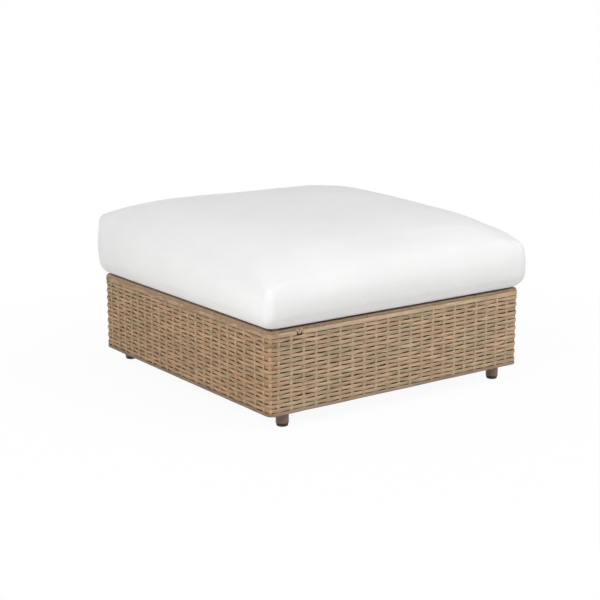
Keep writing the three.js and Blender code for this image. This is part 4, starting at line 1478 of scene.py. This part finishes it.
def build_lips():
    """Folded edges of the cover beside the zip, each with a row of stitches."""
    cloth, thread = Skin(), Skin()
    edge_in, edge_out = 5.6 * MM, 15.5 * MM
    floor, roof = -0.35 * MM, 0.75 * MM
    angles = section_angles(6)
    line = np.linspace(0, STITCH_LENGTH, 5)[:, None]
    bow = 0.28 * MM * np.sin(np.linspace(0, math.pi, 5))[:, None]
    for sign in (-1, 1):
        outline = [(floor, edge_in + 0.2 * MM), (roof * 0.7, edge_in - 0.15 * MM)]
        for share in np.linspace(0, 1, 7)[1:]:
            up = edge_in + share * (edge_out - edge_in)
            outline.append((roof * (1 - 3.6 * max(0, share - 0.75)) + cover_rise(sign * up), up))
        outline.append((floor - 0.8 * MM + cover_rise(sign * edge_out), edge_out))
        outline += [(floor, edge_out * 0.8), (floor, edge_in * 1.4), (floor, edge_in * 1.4 - 1.0 * MM)]
        outline = np.array(outline) * (1, sign)
        bar_along_zip(cloth, outline, -ZIP_HALF - 4 * MM, ZIP_HALF + 4 * MM, 150)
        out = roof - 0.05 * MM + bow + STITCH_THREAD * np.sin(angles)
        up = sign * (edge_in + 2.2 * MM) + STITCH_THREAD * np.cos(angles)
        for x in np.arange(-ZIP_HALF, ZIP_HALF, STITCH_PITCH):
            thread.add(zip_grid(x + line, out, up), caps=True)
    cloth.place("zip_placket", "cover", "cushion", "canvas")
    thread.place("zip_stitches", "tape", "cushion", "canvas")


def build_slider():
    """Slider body with a rounded roof, side flanges and the two lugs that hold the pull's bar."""
    middle = (slider_low.x + slider_high.x) / 2
    half_length = 5.5 * MM
    inner, outer = 2.35 * MM, 3.85 * MM
    skirt, ceiling, roof = -0.15 * MM, 1.35 * MM, 2.85 * MM
    half = [(roof, outer - 1.1 * MM), (roof - 0.25 * MM, outer - 0.3 * MM), (roof - 0.9 * MM, outer)]
    half += [(skirt, outer), (skirt, inner), (ceiling, inner)]
    mirrored = [(out, -up) for out, up in reversed(half)]
    out, up = np.array(mirrored[2:] + half + mirrored[:2]).T
    stations = np.array([-1, -0.94, -0.75, -0.35, 0, 0.35, 0.75, 0.94, 1])[:, None] * half_length
    pinch = np.array([0.86, 0.93, 1, 0.96, 0.92, 0.96, 1, 0.93, 0.86])[:, None]
    flat = np.array([0.9, 0.96, 1, 1, 1, 1, 1, 0.96, 0.9])[:, None]
    lowered = np.where(out > ceiling, ceiling + (out - ceiling) * flat, out)
    pinched = np.where(np.abs(up) > inner, up * pinch, up)
    skin = Skin()
    skin.add(zip_grid(stations + middle, lowered, pinched))
    ends = np.array([(0, 1, 10, 11), (1, 2, 9, 10), (2, 3, 4, 9), (4, 5, 8, 9), (5, 6, 7, 8)])
    skin.close(ends[:, ::-1])
    skin.close(ends + (len(stations) - 1) * len(out))
    for sign in (-1, 1):
        add_lug(skin, middle + sign * 4.05 * MM, 0.75 * MM, 2.0 * MM, roof - 0.6 * MM, roof + 3.3 * MM)
    skin.place("zip_slider_body", "zip_metal", "zip_slider", "steel", ["zip_slider"], sharp=35)


def add_lug(skin, x, half_thick, half_width, bottom, top):
    """A lug with a round head, standing out from the slider."""
    head = top - half_width
    turns = np.linspace(0, math.pi, 12)
    round_head = np.column_stack([head + half_width * np.sin(turns), -half_width * np.cos(turns)])
    outline = np.vstack([(bottom, -half_width), round_head, (bottom, half_width)])
    centre = np.array([(head + bottom) / 2, 0])
    scales = np.array([0.9, 1, 1, 0.9])[:, None, None]
    out, up = np.moveaxis(centre + (outline - centre) * scales, -1, 0)
    stations = x + np.array([-1, -0.75, 0.75, 1])[:, None] * half_thick
    skin.add(zip_grid(stations, out, up), caps=True)


def build_pull():
    """The pull: a round bar in the lugs and a slim tab that hangs from it, with a finger hole."""
    bar_x, bar_y = (pull_low.x + pull_high.x) / 2, (pull_low.y + pull_high.y) / 2
    bar_z = pull_high.z - 1 * MM
    half, chamfer = (pull_high.x - pull_low.x) / 2, 0.25 * MM
    stations = bar_x + np.array([-half, -half + chamfer, half - chamfer, half])[:, None]
    radii = np.array([0.75, 1, 1, 0.75])[:, None] * MM
    angles = section_angles(20)
    skin = Skin()
    skin.add(stacked(stations, bar_y + radii * np.cos(angles), bar_z + radii * np.sin(angles)), caps=True)

    length = bar_z - pull_low.z
    half_width, thick = 3 * MM, 0.6 * MM
    hole_centre, hole_half, hole_long = -length + 5.2 * MM, 1.5 * MM, 3.2 * MM
    centre = -length + half_width
    outer, inner = [], []
    for k in range(28):
        c, s = math.cos(k / 28 * TAU), math.sin(k / 28 * TAU)
        if s < 0:
            outer.append((half_width * c, centre + half_width * s))
        else:
            side = half_width * np.sign(c) * min(1, abs(c) * 1.5)
            outer.append((side, centre + (length - half_width) * min(1, s * 1.3)))
        stretch = hole_long / 2 * np.sign(s) * (abs(s) > 0.01)
        inner.append((hole_half * c, hole_centre + stretch + hole_half * s))
    outer, inner = np.array(outer), np.array(inner)
    rows = []
    for loop, offset, grow in (
        (outer, -0.7, 0), (outer, 0.7, 0), (outer, 1, -chamfer), (inner, 1, chamfer),
        (inner, 0.7, 0), (inner, -0.7, 0), (inner, -1, chamfer), (outer, -1, -chamfer),
    ):
        x, z = (loop + unit(loop - loop.mean(0)) * grow).T
        rows.append(stacked(bar_x + x, bar_y + offset * thick, bar_z + z))
    skin.add(np.array(rows), wrap_rows=True)
    skin.place("zip_pull_tab", "zip_metal", "zip_pull", "steel", ["zip_pull"], sharp=35)


# Studio


def ray(tree, kind):
    return add_node(tree, "ShaderNodeLightPath").outputs[f"Is {kind} Ray"]


def show_mixed(tree, output, share, first, second):
    """Ends a tree of nodes in a mix of two shaders."""
    mixed = add_node(tree, "ShaderNodeMixShader", _0=share, _1=first.outputs[0], _2=second.outputs[0])
    add_node(tree, output, Surface=mixed.outputs[0])


def add_floor():
    """A pale floor, which the camera sees as a white backdrop that keeps a trace of the object's shadow."""
    corners = [(x * FLOOR_HALF, y * FLOOR_HALF, 0) for x, y in ((-1, -1), (1, -1), (1, 1), (-1, 1))]
    floor = mesh_object("studio_floor", corners, [(0, 1, 2, 3)])
    material = bpy.data.materials.new("studio_floor")
    material.use_nodes = True
    tree = material.node_tree
    tree.nodes.clear()
    matt = add_node(tree, "ShaderNodeBsdfDiffuse", Color=(0.84, 0.84, 0.84, 1))
    glow = add_node(tree, "ShaderNodeEmission", Color=(1, 1, 1, 1), Strength=1.0)
    seen = maths(tree, "MAXIMUM", ray(tree, "Camera"), ray(tree, "Glossy"))
    place = add_node(tree, "ShaderNodeTexCoord").outputs["Object"]
    distance = add_node(tree, "ShaderNodeVectorMath", {"operation": "LENGTH"}, _0=place).outputs["Value"]
    share = maths(tree, "MULTIPLY", seen, map_range(tree, distance, 0.5, 1.6, 0.94, 1.0))
    show_mixed(tree, "ShaderNodeOutputMaterial", share, matt, glow)
    floor.data.materials.append(material)


def add_world():
    """White to look at, and a faint cool light from all around."""
    world = bpy.data.worlds.new("studio")
    bpy.context.scene.world = world
    world.use_nodes = True
    tree = world.node_tree
    tree.nodes.clear()
    seen = maths(tree, "MAXIMUM", ray(tree, "Camera"), ray(tree, "Glossy"))
    seen = maths(tree, "MAXIMUM", seen, ray(tree, "Transmission"))
    white = add_node(tree, "ShaderNodeBackground", Color=(1, 1, 1, 1), Strength=1.0)
    room = add_node(tree, "ShaderNodeBackground", Color=(0.98, 0.99, 1, 1), Strength=0.13)
    show_mixed(tree, "ShaderNodeOutputWorld", seen, room, white)


def direction_of(azimuth, elevation):
    """Towards a place round the object. Azimuth 0 is in front of it, 90 on its right, in degrees."""
    around, up = math.radians(azimuth), math.radians(elevation)
    return Vector((math.sin(around) * math.cos(up), -math.cos(around) * math.cos(up), math.sin(up)))


def aim(thing, place, direction, front):
    """Sets a thing at its place, and turns its own front axis to a direction."""
    thing.location = place
    thing.rotation_mode = "QUATERNION"
    thing.rotation_quaternion = direction.to_track_quat(front, "Y")


def add_lamp(name, azimuth, elevation, watts):
    """A soft square lamp that looks at the object."""
    data = bpy.data.lights.new(name, "AREA")
    data.shape = "SQUARE"
    data.size = LAMP_SIZE
    data.energy = watts
    towards = direction_of(azimuth, elevation)
    aim(link(name, data), Vector((0, 0, LAMP_AIM)) + towards * LAMP_DISTANCE, towards, "Z")


def add_camera():
    data = bpy.data.cameras.new("camera")
    data.lens = CAMERA_LENS
    data.sensor_width = 36
    data.clip_start, data.clip_end = 0.1, 100
    camera = link("camera", data)
    aim(camera, CAMERA_PLACE, -direction_of(CAMERA_AZIMUTH, CAMERA_ELEVATION), "-Z")
    bpy.context.scene.camera = camera


add_camera()
build_rows()
build_stakes()
build_lining()
build_lower_edge()
build_rim()
build_rim_strand()
build_frame()
build_welds()
build_feet()
build_deck()
build_rivets()
build_cushion()
build_tape()
build_coil()
build_lips()
build_slider()
build_pull()

add_floor()
add_world()
add_lamp("left_key", -70, 29, 146)
add_lamp("right_fill", 28, 29, 92)
add_lamp("right_high", 60, 58, 56)
add_lamp("back_fill", 180, 4, 80)
bpy.context.scene.view_settings.view_transform = "Standard"
